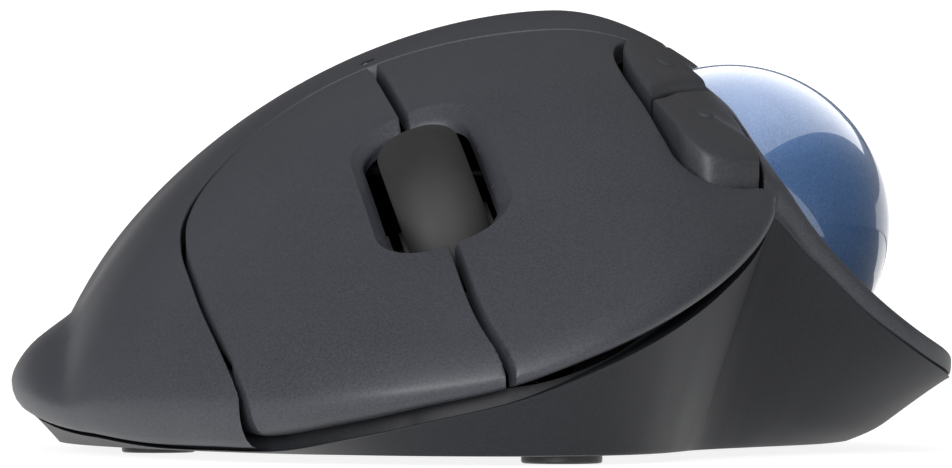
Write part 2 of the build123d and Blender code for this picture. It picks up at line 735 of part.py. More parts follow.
AXLE_PLANE = Plane(origin=WHEEL_CENTRE, x_dir=(0, 1, 0), z_dir=AXLE_DIRECTION)
with BuildPart() as wheel_axle:
    with BuildSketch(AXLE_PLANE.offset(-11.5)):
        Circle(AXLE_RADIUS)
    extrude(amount=19.5)
write_part(wheel_axle.part, "wheel_axle")

with BuildPart(WHEEL_PLANE) as wheel_carrier:
    with Locations((0, 0, -7)):
        Box(14, 33.2, 4)
        Box(11.2, 26.4, 4, mode=Mode.SUBTRACT)
    with Locations((-6.3, 0, -3), (6.3, 0, -3)):
        Box(1.4, 9, 12)
    Cylinder(AXLE_RADIUS + CLEARANCE, 20, rotation=(0, 90, 0), mode=Mode.SUBTRACT)
    with Locations((0, -CARRIER_POST_Y, -7), (0, CARRIER_POST_Y, -7)):
        Cylinder(CARRIER_POST_RADIUS + 2 * CLEARANCE, 6, mode=Mode.SUBTRACT)
write_part(wheel_carrier.part, "wheel_carrier")

with BuildPart(WHEEL_PLANE) as wheel_encoder:
    with Locations((-9.65, 0, -1.6)):
        Box(5.1, 9, 8.8)
    Cylinder(AXLE_RADIUS + CLEARANCE, 30, rotation=(0, 90, 0), mode=Mode.SUBTRACT)
write_part(wheel_encoder.part, "wheel_encoder")


def coil_spring(plane, pitch, height, radius, wire):
    """Round-wire coil spring that stands on a plane."""
    with BuildPart() as spring:
        with BuildLine() as path:
            Helix(pitch=pitch, height=height, radius=radius)
        with BuildSketch(Plane(origin=path.line @ 0, z_dir=path.line % 0)):
            Circle(wire)
        sweep()
    return plane.location * spring.part


with BuildPart() as carrier_springs:
    for place_y in (CARRIER_POST_Y, -CARRIER_POST_Y):
        foot = Plane(origin=WHEEL_PLANE.from_local_coords(Vector(0, place_y, -CARRIER_SPRING_DEPTH)),
                     x_dir=AXLE_DIRECTION, z_dir=WHEEL_UP)
        add(coil_spring(foot, 1.6, CARRIER_SPRING_DEPTH - 9.7, 1.75, 0.22))
write_part(carrier_springs.part, "carrier_springs")


# ---- boards and switches ------------------------------------------------
with BuildPart() as main_board:
    with BuildSketch(Plane.XY.offset(BOARD_BOTTOM)):
        with BuildLine():
            Polyline(
                (-24, -36), (-22.5, -46), (-15, -52.5), (4, -55), (12, -54.5), (15.8, -49.5),
                (16.6, -40), (9.5, -37), (9.5, -10.2), (-26, -10.2), (-24, -36),
            )
        make_face()
        with Locations((2.4, -34.2)):
            Rectangle(9, 11, mode=Mode.SUBTRACT)
        with Locations((3.4, -34.2 - CARRIER_POST_Y), (3.4, -34.2 + CARRIER_POST_Y)):
            Circle(2.8, mode=Mode.SUBTRACT)
        with Locations(SLIDER_PLACE):
            Rectangle(9.2, 4.2, mode=Mode.SUBTRACT)
        with Locations(*BOARD_SCREWS):
            Circle(1.1, mode=Mode.SUBTRACT)
    extrude(amount=BOARD_THICKNESS)
write_part(main_board.part, "main_board")


def click_switch(place):
    """Long-life click switch on the main board."""
    with BuildPart() as switch:
        with BuildSketch(Plane.XY.offset(BOARD_TOP + 0.02)):
            with Locations(place):
                Rectangle(5.8, 12.8)
        extrude(amount=6.2)
        with BuildSketch(Plane.XY.offset(BOARD_TOP + 6.2)):
            with Locations((place[0], place[1] - 2.5)):
                Rectangle(2.8, 1.2)
        extrude(amount=0.6)
    return switch.part


write_part(click_switch(LEFT_SWITCH), "left_click_switch")
write_part(click_switch(RIGHT_SWITCH), "right_click_switch")


def tact_switch(place, low, width, body_height, plunger_radius, plunger_height):
    """Small dome switch with a round plunger on top."""
    with BuildPart() as switch:
        with BuildSketch(Plane.XY.offset(low)):
            with Locations(place):
                Rectangle(width, width)
        extrude(amount=body_height)
        with BuildSketch(Plane.XY.offset(low + body_height)):
            with Locations(place):
                Circle(plunger_radius)
        extrude(amount=plunger_height)
    return switch.part


write_part(tact_switch((-5, -24.8), BOARD_TOP + 0.02, 6, 2.4, 1.7, 0.65), "middle_click_switch")

with BuildPart() as side_switches:
    for place in SIDE_SWITCHES:
        add(tact_switch(place, SIDE_BOARD_Z + 1.22, 3.5, 1.5, 1.0, 0.5))
write_part(side_switches.part, "side_switches")

with BuildPart() as side_board:
    with BuildSketch(Plane.XY.offset(SIDE_BOARD_Z + 0.02)):
        with BuildLine():
            Polyline((10.5, -35), (21.5, -35), (21.5, -25), (17, -20.4), (10.5, -20.4), (10.5, -35))
        make_face()
    extrude(amount=1.18)
write_part(side_board.part, "side_board")

with BuildPart() as radio_chip:
    with BuildSketch(Plane.XY.offset(BOARD_TOP + 0.02)):
        with Locations((-14, -18.5)):
            Rectangle(7, 7)
    extrude(amount=0.9)
write_part(radio_chip.part, "radio_chip")

with BuildPart() as clock_crystal:
    with BuildSketch(Plane.XY.offset(BOARD_TOP + 0.02)):
        with Locations((-20.6, -21)):
            SlotOverall(5, 2.4, rotation=90)
    extrude(amount=1.2)
write_part(clock_crystal.part, "clock_crystal")

with BuildPart() as power_switch:
    with BuildSketch(Plane.XY.offset(3.35)):
        with Locations(SLIDER_PLACE):
            Rectangle(8.8, 3.8)
    extrude(amount=3.6)
write_part(power_switch.part, "power_switch")

SLIDER_TRAVEL = 3.0
with BuildPart() as power_slider:
    with BuildSketch(Plane.XY.offset(0.95)):
        with Locations((SLIDER_PLACE[0] - SLIDER_TRAVEL / 2, SLIDER_PLACE[1])):
            SlotOverall(5.1, 3.4)
    extrude(amount=1.75)
    with BuildSketch(Plane.XY.offset(2.65)):
        with Locations((SLIDER_PLACE[0] - SLIDER_TRAVEL / 2, SLIDER_PLACE[1])):
            Rectangle(7, 4.6)
    extrude(amount=0.45)
    with BuildSketch(Plane.XY.offset(0.95)):
        with GridLocations(0.9, 1, 3, 1):
            with Locations((SLIDER_PLACE[0] - SLIDER_TRAVEL / 2, SLIDER_PLACE[1])):
                Rectangle(0.35, 2.2)
    extrude(amount=0.3, mode=Mode.SUBTRACT)
write_part(power_slider.part, "power_slider")

write_part(tact_switch((0, -16), BOARD_BOTTOM - 1.42, 4, 1.4, 0.1, 0.02), "connect_switch")

with BuildPart() as connect_button:
    add(round_post(CONNECT_PLACE, 1.95, 0.95, 2.7))
    add(round_post(CONNECT_PLACE, 2.6, 2.65, 2.95))
write_part(connect_button.part, "connect_button")


# ---- battery bay --------------------------------------------------------
with BuildPart() as battery_tray:
    add(square_prism((-23.6, 12.2), (-8, 50), (BASE_INSIDE + CLEARANCE, 3.85)))
    add(square_prism((-22.8, -5.2), (-8, 49.8), (BASE_INSIDE + CLEARANCE, 19.9)))
    add(square_prism((-5.6, 12.2), (18, 44), (BASE_INSIDE + CLEARANCE, 11)))
    add(square_prism((-21.8, -6.2), (-7, 48.8), (0, 19)), mode=Mode.SUBTRACT)
    add(square_prism((-4.8, 10.8), (20, 42), (0, 10)), mode=Mode.SUBTRACT)
write_part(battery_tray.part, "battery_tray")

CELL_FRONT = CELL_CENTRE.Y - CELL_LENGTH / 2
with BuildPart() as battery_cell:
    with BuildSketch(Plane.XZ.offset(-CELL_FRONT)):
        with Locations((CELL_CENTRE.X, CELL_CENTRE.Z)):
            Circle(CELL_RADIUS)
    extrude(amount=-(CELL_LENGTH - 1.2))
    with BuildSketch(Plane.XZ.offset(-(CELL_FRONT + CELL_LENGTH - 1.2))):
        with Locations((CELL_CENTRE.X, CELL_CENTRE.Z)):
            Circle(2.7)
    extrude(amount=-1.2)
write_part(battery_cell.part, "battery_cell")

with BuildPart() as contact_spring:
    add(coil_spring(Plane(origin=(CELL_CENTRE.X, -6.2, CELL_CENTRE.Z), x_dir=(1, 0, 0), z_dir=(0, 1, 0)),
                    0.95, 2.6, 3.6, 0.3))
write_part(contact_spring.part, "contact_spring")

with BuildPart() as contact_plate:
    add(square_prism((-19, -9), (47.6, 48.1), (6.5, 16.5)))
write_part(contact_plate.part, "contact_plate")

with BuildPart() as usb_receiver:
    add(square_prism((-3.1, 9.1), (21.2, 33.5), (4, 8.5)))
    add(square_prism((-4.2, 10.2), (33.5, 40), (3.2, 9.3)))
    add(square_prism((-2.4, 8.4), (20, 31), (6.6, 8)), mode=Mode.SUBTRACT)
write_part(usb_receiver.part, "usb_receiver")

with BuildPart() as battery_door:
    add(square_prism(DOOR_X, (DOOR_PIN_Y, DOOR_Y[1]),
                     (DOOR_MIDDLE_Z - DOOR_HALF_THICKNESS, DOOR_MIDDLE_Z + DOOR_HALF_THICKNESS)))
    with BuildSketch(Plane.YZ.offset(DOOR_X[0])):
        with Locations((DOOR_PIN_Y, DOOR_MIDDLE_Z)):
            Circle(DOOR_HALF_THICKNESS)
    extrude(amount=DOOR_X[1] - DOOR_X[0])
    with BuildSketch(Plane.YZ.offset(DOOR_X[0] - 1.2)):
        with Locations((DOOR_PIN_Y, DOOR_MIDDLE_Z)):
            Circle(0.5)
    extrude(amount=DOOR_X[1] - DOOR_X[0] + 2.4)
    with BuildSketch(Plane.XY):
        with Locations(((DOOR_X[0] + DOOR_X[1]) / 2, DOOR_Y[1] - 6)):
            SlotOverall(12, 5)
    extrude(amount=1.45, mode=Mode.SUBTRACT)
write_part(battery_door.part, "battery_door")

with BuildPart() as battery_leads:
    for lead_x in (-17, -11):
        with BuildLine() as route:
            FilletPolyline((lead_x, -8.1, 12), (lead_x, -11.6, 12), (lead_x, -11.6, BOARD_TOP + 0.1), radius=2)
        with BuildSketch(Plane(origin=route.line @ 0, z_dir=route.line % 0)):
            Circle(0.6)
        sweep()
write_part(battery_leads.part, "battery_leads")
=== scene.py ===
import json
import math

import bmesh
import bpy
import numpy as np
from mathutils import Euler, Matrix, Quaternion, Vector
from mathutils.geometry import delaunay_2d_cdt


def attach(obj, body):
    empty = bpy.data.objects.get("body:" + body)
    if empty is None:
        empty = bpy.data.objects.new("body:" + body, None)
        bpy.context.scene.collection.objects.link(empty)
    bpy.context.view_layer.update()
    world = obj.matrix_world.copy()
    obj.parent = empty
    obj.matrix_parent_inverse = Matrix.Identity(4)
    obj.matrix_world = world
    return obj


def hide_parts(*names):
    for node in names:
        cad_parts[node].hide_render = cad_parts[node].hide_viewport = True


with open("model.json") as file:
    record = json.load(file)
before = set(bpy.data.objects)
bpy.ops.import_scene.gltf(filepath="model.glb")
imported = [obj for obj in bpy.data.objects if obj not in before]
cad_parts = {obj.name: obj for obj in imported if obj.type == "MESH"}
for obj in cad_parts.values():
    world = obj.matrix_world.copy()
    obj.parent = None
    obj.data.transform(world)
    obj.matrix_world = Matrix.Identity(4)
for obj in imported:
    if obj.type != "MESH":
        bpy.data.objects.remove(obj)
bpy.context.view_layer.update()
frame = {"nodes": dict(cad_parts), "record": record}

# Looks of the thumb-operated trackball mouse. Lengths in this script are millimetres
# until a mesh is made; +Z is up, the nose points to -Y and the ball is on the +X side.
MM = 0.001
POINTS_AT_ONCE = 4000

# ---- the outer skin, the same height field as the CAD shells -------------
RIM = [
    (-20, -57, 2.6), (-14, -62, 3.6), (-6, -65.8, 5.2), (4, -67, 7.4), (12, -65.2, 10.4),
    (18, -61, 13.2), (23, -54.5, 16.2), (26.6, -47, 19.4), (28.8, -40.5, 22.5), (29.8, -35.5, 25),
    (33.5, -32, 21.2), (39.5, -28, 15.5), (45, -22.5, 11.7), (48.9, -14.5, 9.6), (50, -4, 9),
    (49.3, 9, 8.5), (46.4, 22, 8), (41, 36, 7.5), (33, 50, 7), (21, 61, 6.5), (6, 66.5, 6),
    (-10, 66.8, 6), (-25, 60.5, 6), (-38, 48.5, 6), (-46.3, 32, 6), (-50, 14, 6), (-49.6, -1, 5.4),
    (-46.3, -15, 4.4), (-40.5, -28, 3.4), (-33.5, -40, 2.6), (-26.5, -50, 2.5),
]
FLOOR = [
    (-17, -53), (-12, -57), (-5, -61), (3, -62.5), (9.5, -60.8),
    (14.5, -56.5), (17.8, -50.5), (19.8, -44.5), (21, -40), (22.5, -36),
    (25.5, -31.5), (30, -25.5), (34.5, -19), (38, -12), (40.3, -4),
    (41.5, 8), (40.3, 21), (36.5, 33.5), (29.5, 46), (19, 55.5), (5.5, 60.5),
    (-9, 60.5), (-22.5, 54.5), (-34, 43.5), (-41.5, 29), (-45, 13), (-44.5, 0),
    (-41.5, -12.5), (-36.2, -25), (-29.5, -36.5), (-23, -46),
]
PALM_SEAM = [
    (-19, -60), (-22, -54.5), (-24.8, -47), (-27.5, -37), (-29.2, -28.5), (-29.4, -22),
    (-28.3, -17.5), (-25.8, -13.4), (-22, -9.6), (-17, -7.2), (-11, -6.7), (-3, -7.4), (6, -8.3),
    (16.6, -8.3),
]
SPLIT_GROOVE = [(-11, -6.7), (-8.6, -20), (-6.4, -30), (-2.2, -50), (0.9, -62), (3.2, -67), (5.4, -72)]
# The inner corner of this slot is a little rounder than in the CAD.
ROCKER_SLOT = [
    (16.6, -8.3), (15.2, -12.5), (14.7, -17), (15.4, -22), (17.4, -29.3), (19, -35), (20.3, -38.6),
    (22.4, -40.4), (25.2, -39.6), (28, -37),
]
THUMB_SEAM = [(19.6, -8.3), (22.6, -14), (26.2, -21), (27.8, -30), (28, -37)]
THUMB_SEAM_REAR = [(19.6, -8.3), (20.4, 2), (22.6, 12), (25, 24), (26.6, 36), (27.6, 50), (28, 72)]
NOSE_CORNER = [(28, -37), (30.2, -35.6), (40, -45)]
KEY_EDGE = [(16.6, -8.3), (19.6, -8.3)]
ROCKER_SPLIT = [(14, -35), (28, -8.9)]

SEAM = 0.5
GROOVE_WIDTH = 0.9
ROCKER_GAP = 0.9
LIP_RISE = 1.2
TIP_RISE = 3.0
KEY_BASE_GAP = 1.4
COVER_DROP = 1.1
SHELL_WALL = 2.0
RIM_WALL = 1.6
FLOOR_LEVEL = 0.8
FLOOR_INSIDE = 2.6
BALL_CENTRE = np.array([26.9, -3, 24])
BALL_RADIUS = 17.0
BALL_HOLE_RADIUS = 17.6
BALL_CLEARANCE = 1.9
HAIR_INSIDE = 0.035
ROLL_SHARE = 0.5
WINDOW_CENTRE = (-4.5, -38)
WINDOW_HALF = (5.3, 11.2)
WINDOW_CORNER = 4.6
WINDOW_TURN = math.radians(11.7)
BEZEL_WIDTH = 1.35
BEZEL_DROP = 1.15
LIGHT_PLACE = (-11.6, -3.5)
WHEEL_CENTRE = np.array([-2.3, -34.2, 20.8])
WHEEL_ROLL = math.radians(20)
BUMPS = [(19.4, -17.6), (22.9, -28.9)]


def smooth_curve(places, values):
    """Curve through stations, with the slope of a parabola at each."""
    places = np.asarray(places, float)
    values = np.asarray(values, float)
    steps = np.diff(places)
    rates = np.diff(values) / steps
    inner = (rates[:-1] * steps[1:] + rates[1:] * steps[:-1]) / (steps[:-1] + steps[1:])
    slopes = np.concatenate([rates[:1], inner, rates[-1:]])

    def value_at(place):
        place = np.clip(place, places[0], places[-1])
        index = np.clip(np.searchsorted(places, place) - 1, 0, len(steps) - 1)
        step = steps[index]
        t = (place - places[index]) / step
        start = values[index] * (1 + 2 * t) * (1 - t) ** 2 + slopes[index] * step * t * (1 - t) ** 2
        end = values[index + 1] * t * t * (3 - 2 * t) + slopes[index + 1] * step * t * t * (t - 1)
        return start + end

    return value_at


def round_the_rim(values):
    """Closed curve of a value against the angle of each rim point."""
    angles = np.array([math.atan2(y, x) for x, y, _ in RIM])
    order = np.argsort(angles)
    angles = angles[order]
    values = np.asarray(values)[order]
    turn = 2 * math.pi
    wrapped = np.concatenate([angles[-3:] - turn, angles, angles[:3] + turn])
    return smooth_curve(wrapped, np.concatenate([values[-3:], values, values[:3]]))


rim_radius = round_the_rim([math.hypot(x, y) for x, y, _ in RIM])
rim_height = round_the_rim([z for _, _, z in RIM])
crown_height = smooth_curve(
    (-68, -56, -44, -30, -12, 8, 28, 44, 56, 63, 68),
    (9.2, 18.7, 26.6, 35.2, 43.2, 47.8, 45.8, 38, 27, 16.5, 5),
)
crown_x = smooth_curve((-68, -56, -44, -30, -12, 8, 28, 48, 68), (17, 15, 12.5, 11, 9.5, 8.5, 5, 1, -2))
left_span = smooth_curve((-68, -56, -44, -30, -12, 8, 68), (38, 43, 47, 52, 54.8, 55.7, 55.7))
right_drop = smooth_curve((-68, -30, 8, 68), (15, 17, 24, 27))
DOME_POWER = 1.8


def dome(x, y):
    """The hump under the palm and the two main buttons."""
    across = x - crown_x(y)
    reach = np.clip(-across / left_span(y), 0, 1)
    left = crown_height(y) * (1 - reach ** DOME_POWER) ** (1 / DOME_POWER)
    right = crown_height(y) - right_drop(y) * (np.hypot(1, across / 20) - 1)
    return np.where(across > 0, right, left)


def flare(x, y):
    """The concave skirt that runs out to the rim, thicker at the tip away from the thumb."""
    angle = np.arctan2(y, x)
    inset = rim_radius(angle) - np.hypot(x, y)
    edge = LIP_RISE + TIP_RISE * np.maximum(-np.cos(angle), 0) ** 4
    return rim_height(angle) + edge + 9 * np.tanh(0.8 * inset / 9)


def thumb_scoop(x, y):
    """The hollow slope on the thumb side, round the ball."""
    behind = np.maximum(y - 8, 0) / 59
    inset = np.where(y > 8, 50 * (1 - np.hypot(x / 50, behind)) - 0.5, 49.5 - x)
    turn = np.arctan2(behind, np.maximum(x, 0.001) / 50)
    steeper = 1 + 3 * np.clip(turn - 0.35, 0, 1) ** 2
    slope = steeper * (0.387 * inset + 0.0236 * inset * np.abs(inset))
    return 10.5 + slope + 0.003 * np.maximum(inset - 12, 0) ** 3


def skin(x, y):
    high = dome(x, y)
    low = flare(x, y)
    hump = 0.5 * (high + low + np.hypot(high - low, 1.5))
    scoop = thumb_scoop(x, y)
    return 0.5 * (hump + scoop - np.hypot(hump - scoop, 1.0))


def lip(x, y):
    """A surface that meets the rim's lower edge all the way round."""
    angle = np.arctan2(y, x)
    share = np.minimum(np.hypot(x, y) / rim_radius(angle), 1.15)
    return 8 + (rim_height(angle) - 8) * share ** 2


# ---- plan geometry ------------------------------------------------------
def smooth_path(points, spacing=0.45):
    """Evenly spaced points along a smooth curve through a few given ones."""
    points = np.asarray(points, float)
    steps = np.hypot(*np.diff(points, axis=0).T)
    along = np.concatenate([[0], np.cumsum(steps)])
    if len(points) < 4:
        places = np.linspace(0, along[-1], max(int(along[-1] / spacing), 2))
        return np.column_stack([np.interp(places, along, points[:, axis]) for axis in (0, 1)])
    places = np.linspace(0, along[-1], int(along[-1] / spacing) + 1)
    return np.column_stack([smooth_curve(along, points[:, axis])(places) for axis in (0, 1)])


def closed_loop(points, count):
    """Evenly numbered points round a closed smooth curve, all columns at once."""
    points = np.asarray(points, float)
    wrapped = np.concatenate([points[-3:], points, points[:4]])
    places = np.arange(-3, len(points) + 4)
    at = np.linspace(0, len(points), count, endpoint=False)
    return np.column_stack([smooth_curve(places, wrapped[:, axis])(at) for axis in range(points.shape[1])])


def offset_path(path, distance, closed=False):
    """A path moved sideways, to its left for a positive distance."""
    if closed:
        along = np.roll(path, -1, axis=0) - np.roll(path, 1, axis=0)
    else:
        along = np.gradient(path, axis=0)
    along /= np.linalg.norm(along, axis=1)[:, None]
    return path + distance * np.column_stack([-along[:, 1], along[:, 0]])


def distance_to(path, points, closed=False):
    """Shortest distance from each point to a path."""
    start = path if closed else path[:-1]
    end = np.roll(path, -1, axis=0) if closed else path[1:]
    span = end - start
    length_squared = np.maximum((span ** 2).sum(axis=1), 1e-12)
    best = np.empty(len(points))
    for low in range(0, len(points), POINTS_AT_ONCE):
        block = points[low:low + POINTS_AT_ONCE, None, :] - start[None]
        share = np.clip((block * span[None]).sum(axis=2) / length_squared, 0, 1)
        gap = block - share[..., None] * span[None]
        best[low:low + POINTS_AT_ONCE] = np.sqrt((gap ** 2).sum(axis=2).min(axis=1))
    return best


def inside(loop, points):
    """Whether each point lies inside a closed loop."""
    x1, y1 = loop.T
    x2, y2 = np.roll(loop, -1, axis=0).T
    result = np.zeros(len(points), bool)
    for low in range(0, len(points), POINTS_AT_ONCE):
        px, py = points[low:low + POINTS_AT_ONCE, :1], points[low:low + POINTS_AT_ONCE, 1:]
        straddles = (y1 > py) != (y2 > py)
        crossing = x1 + (py - y1) * (x2 - x1) / np.where(y2 == y1, 1e-9, y2 - y1)
        result[low:low + POINTS_AT_ONCE] = (straddles & (px < crossing)).sum(axis=1) % 2 == 1
    return result


def window_distance(x, y):
    """Distance outside the rounded slanted window round the wheel; negative inside."""
    dx, dy = x - WINDOW_CENTRE[0], y - WINDOW_CENTRE[1]
    across = np.abs(dx * math.cos(WINDOW_TURN) + dy * math.sin(WINDOW_TURN))
    along = np.abs(dy * math.cos(WINDOW_TURN) - dx * math.sin(WINDOW_TURN))
    qx = across - WINDOW_HALF[0] + WINDOW_CORNER
    qy = along - WINDOW_HALF[1] + WINDOW_CORNER
    outer = np.hypot(np.maximum(qx, 0), np.maximum(qy, 0))
    return outer + np.minimum(np.maximum(qx, qy), 0) - WINDOW_CORNER


def window_loop(grow, spacing=0.3):
    """Outline of the wheel window, moved outwards."""
    half_x, half_y = WINDOW_HALF[0] + grow, WINDOW_HALF[1] + grow
    corner = WINDOW_CORNER + grow
    points = []
    steps = max(int(corner * math.pi / 2 / spacing), 4)
    for quarter, (sign_x, sign_y) in enumerate([(1, 1), (-1, 1), (-1, -1), (1, -1)]):
        for step in range(steps + 1):
            angle = (quarter + step / steps) * math.pi / 2
            points.append((sign_x * (half_x - corner) + corner * math.cos(angle),
                           sign_y * (half_y - corner) + corner * math.sin(angle)))
    points = np.array(points)
    filled = []
    for a, b in zip(points, np.roll(points, -1, axis=0)):
        parts = max(int(np.hypot(*(b - a)) / spacing), 1)
        filled += [a + (b - a) * part / parts for part in range(parts)]
    x, y = np.array(filled).T
    cos, sin = math.cos(WINDOW_TURN), math.sin(WINDOW_TURN)
    return np.column_stack([WINDOW_CENTRE[0] + x * cos - y * sin, WINDOW_CENTRE[1] + x * sin + y * cos])


def ball_hole_loop(radius, count=220):
    """Plan view of the line where a sphere round the ball cuts the skin."""
    centre = (31.7, -3)
    reach = np.linspace(0, 26, 1301)
    points = []
    for angle in np.linspace(0, 2 * math.pi, count, endpoint=False):
        x = centre[0] + reach * math.cos(angle)
        y = centre[1] + reach * math.sin(angle)
        away = np.sqrt((x - BALL_CENTRE[0]) ** 2 + (y - BALL_CENTRE[1]) ** 2
                       + (skin(x, y) - BALL_CENTRE[2]) ** 2) - radius
        first = np.argmax(away > 0)
        share = -away[first - 1] / (away[first] - away[first - 1])
        at = reach[first - 1] + share * (reach[first] - reach[first - 1])
        points.append((centre[0] + at * math.cos(angle), centre[1] + at * math.sin(angle)))
    return np.array(points)


def circle_loop(centre, radius, count=40):
    turn = np.linspace(0, 2 * math.pi, count, endpoint=False)
    return np.column_stack([centre[0] + radius * np.cos(turn), centre[1] + radius * np.sin(turn)])


rim_loop = closed_loop(RIM, 900)[:, :2] * (1 - HAIR_INSIDE / 50)
SEAMS = {
    "palm": (smooth_path(PALM_SEAM), SEAM),
    "groove": (smooth_path(SPLIT_GROOVE), GROOVE_WIDTH),
    "rocker": (smooth_path(ROCKER_SLOT), ROCKER_GAP),
    "thumb": (smooth_path(THUMB_SEAM), SEAM),
    "rear": (smooth_path(THUMB_SEAM_REAR), SEAM),
    "corner": (smooth_path(NOSE_CORNER), SEAM),
    "key_edge": (smooth_path(KEY_EDGE), SEAM),
    "split": (smooth_path(ROCKER_SPLIT), SEAM),
}


def joined(*paths):
    return np.concatenate([np.asarray(path, float) for path in paths])


palm_line = SEAMS["palm"][0]
turning_point = int(np.argmin(np.hypot(palm_line[:, 0] + 11, palm_line[:, 1] + 6.7)))
AREAS = {
    "left": joined(palm_line[:turning_point + 1], SEAMS["groove"][0], [(5.4, -75), (-22, -75)]),
    "right": joined(SEAMS["groove"][0][::-1], palm_line[turning_point:], SEAMS["rocker"][0],
                    SEAMS["corner"][0], [(40, -75), (5.4, -75)]),
    "rockers": joined(SEAMS["rocker"][0], SEAMS["thumb"][0][::-1], SEAMS["key_edge"][0][::-1]),
    "thumb": joined(SEAMS["corner"][0][::-1], SEAMS["thumb"][0][::-1], SEAMS["rear"][0],
                    [(60, 75), (60, -45)]),
    "front": joined(ROCKER_SPLIT, [(60, -8.9), (60, -75), (0, -75), (0, -35)]),
}
hole_loop = ball_hole_loop(BALL_HOLE_RADIUS)
light_loop = circle_loop(LIGHT_PLACE, 0.85)


def shell_sheet():
    """One fine triangulation of the whole upper skin, with every seam and opening as an edge."""
    points = []
    edges = []

    def add_line(line, closed=False):
        first = len(points)
        points.extend(map(tuple, line))
        edges.extend((first + i, first + i + 1) for i in range(len(line) - 1))
        if closed:
            edges.append((first + len(line) - 1, first))

    add_line(rim_loop, True)
    add_line(window_loop(0), True)
    add_line(hole_loop, True)
    add_line(light_loop, True)
    blocked = []
    for path, width in SEAMS.values():
        for side in (-1, 1):
            add_line(offset_path(path, side * width / 2))
            for away in (0.1, 0.25, 0.45):
                row = offset_path(path, side * (width / 2 + away))
                points.extend(map(tuple, row))
        blocked.append((path, width / 2 + 0.7, False))
    for away in (0.06, 0.18, 0.35, 0.6, 0.95, 1.4, 2.0, 2.7, 3.5):
        points.extend(map(tuple, offset_path(rim_loop, away, True)))
    blocked.append((rim_loop, 4.0, True))
    add_line(window_loop(BEZEL_WIDTH, 0.4), True)
    for away in (0.1, 0.25, 0.7, BEZEL_WIDTH - 0.1, BEZEL_WIDTH + 0.1, 1.9):
        points.extend(map(tuple, window_loop(away, 0.4)))
    for away in (0.15, 0.4, 0.8, 1.2):
        points.extend(map(tuple, ball_hole_loop(BALL_HOLE_RADIUS + away, 200)))
    pitch = 0.85
    rows = np.arange(-68, 69, pitch * math.sqrt(3) / 2)
    grid = []
    for number, y in enumerate(rows):
        x = np.arange(-52, 52, pitch) + (number % 2) * pitch / 2
        grid.append(np.column_stack([x, np.full(len(x), y)]))
    grid = np.concatenate(grid)
    keep = inside(rim_loop, grid)
    for path, reach, closed in blocked:
        keep &= distance_to(path, grid, closed) > reach
    from_window = window_distance(grid[:, 0], grid[:, 1])
    keep &= (from_window < -0.5) | (from_window > 2.4)
    keep &= distance_to(hole_loop, grid, True) > 0.8
    points.extend(map(tuple, grid[keep]))
    for centre in BUMPS:
        for size in (0.25, 0.5, 0.7, 0.84, 0.93, 0.98, 1.01, 1.15, 1.4):
            points.extend(map(tuple, circle_loop(centre, size, 28)))
    vectors = [Vector(point) for point in points]
    found, _, faces, *_ = delaunay_2d_cdt(vectors, edges, [], 0, 1e-4)
    return np.array([tuple(point) for point in found]), np.array([face for face in faces if len(face) == 3])


sheet_points, sheet_faces = shell_sheet()
face_centres = sheet_points[sheet_faces].mean(axis=1)
in_rim = inside(rim_loop, face_centres)
in_area = {name: inside(loop, face_centres) for name, loop in AREAS.items()}
in_hole = inside(hole_loop, face_centres)
in_light = inside(light_loop, face_centres)
in_window = window_distance(face_centres[:, 0], face_centres[:, 1]) < 0


def rounding(distance, width, height):
    """How far a rounded edge drops at a distance from the edge."""
    share = np.clip(1 - distance / width, 0, 1)
    return height * (1 - np.sqrt(1 - share ** 2))


def ease(share):
    share = np.clip(share, 0, 1)
    return share * share * (3 - 2 * share)


def rim_wall_height(x, y):
    """Height of the shells' outer wall at the rim point that lies outward of each place."""
    angle = np.arctan2(y, x)
    radius = rim_radius(angle) - 0.02
    return np.maximum(skin(radius * np.cos(angle), radius * np.sin(angle)) - rim_height(angle), 0.5)


def inner_face(x, y):
    """Height of the shells' inner face, an even wall below the skin and clear of the ball."""
    slope = np.hypot(skin(x + 0.5, y) - skin(x - 0.5, y), skin(x, y + 0.5) - skin(x, y - 0.5))
    inner = skin(x, y) - SHELL_WALL * np.minimum(np.hypot(1, slope), 3)
    away_squared = (x - BALL_CENTRE[0]) ** 2 + (y - BALL_CENTRE[1]) ** 2
    over_ball = BALL_CENTRE[2] + np.sqrt(np.maximum((BALL_RADIUS + BALL_CLEARANCE) ** 2 - away_squared, 0))
    beside = away_squared < (BALL_RADIUS + BALL_CLEARANCE) ** 2
    return np.where(beside, np.maximum(inner, over_ball), inner)


def rim_curl(x, y):
    """How far the rolled lower edge of a shell tucks in under the rim."""
    return np.clip(0.8 * (rim_wall_height(x, y) - 0.9), 0.15, 2.3)


rim_inward = offset_path(rim_loop, 1.0, True) - rim_loop


def inward_from_rim(plan):
    """Direction in plan, square to the rim, that leads from each point into the shell."""
    nearest = np.empty(len(plan), int)
    for low in range(0, len(plan), POINTS_AT_ONCE):
        gap = plan[low:low + POINTS_AT_ONCE, None, :] - rim_loop[None]
        nearest[low:low + POINTS_AT_ONCE] = (gap ** 2).sum(axis=2).argmin(axis=1)
    return rim_inward[nearest]


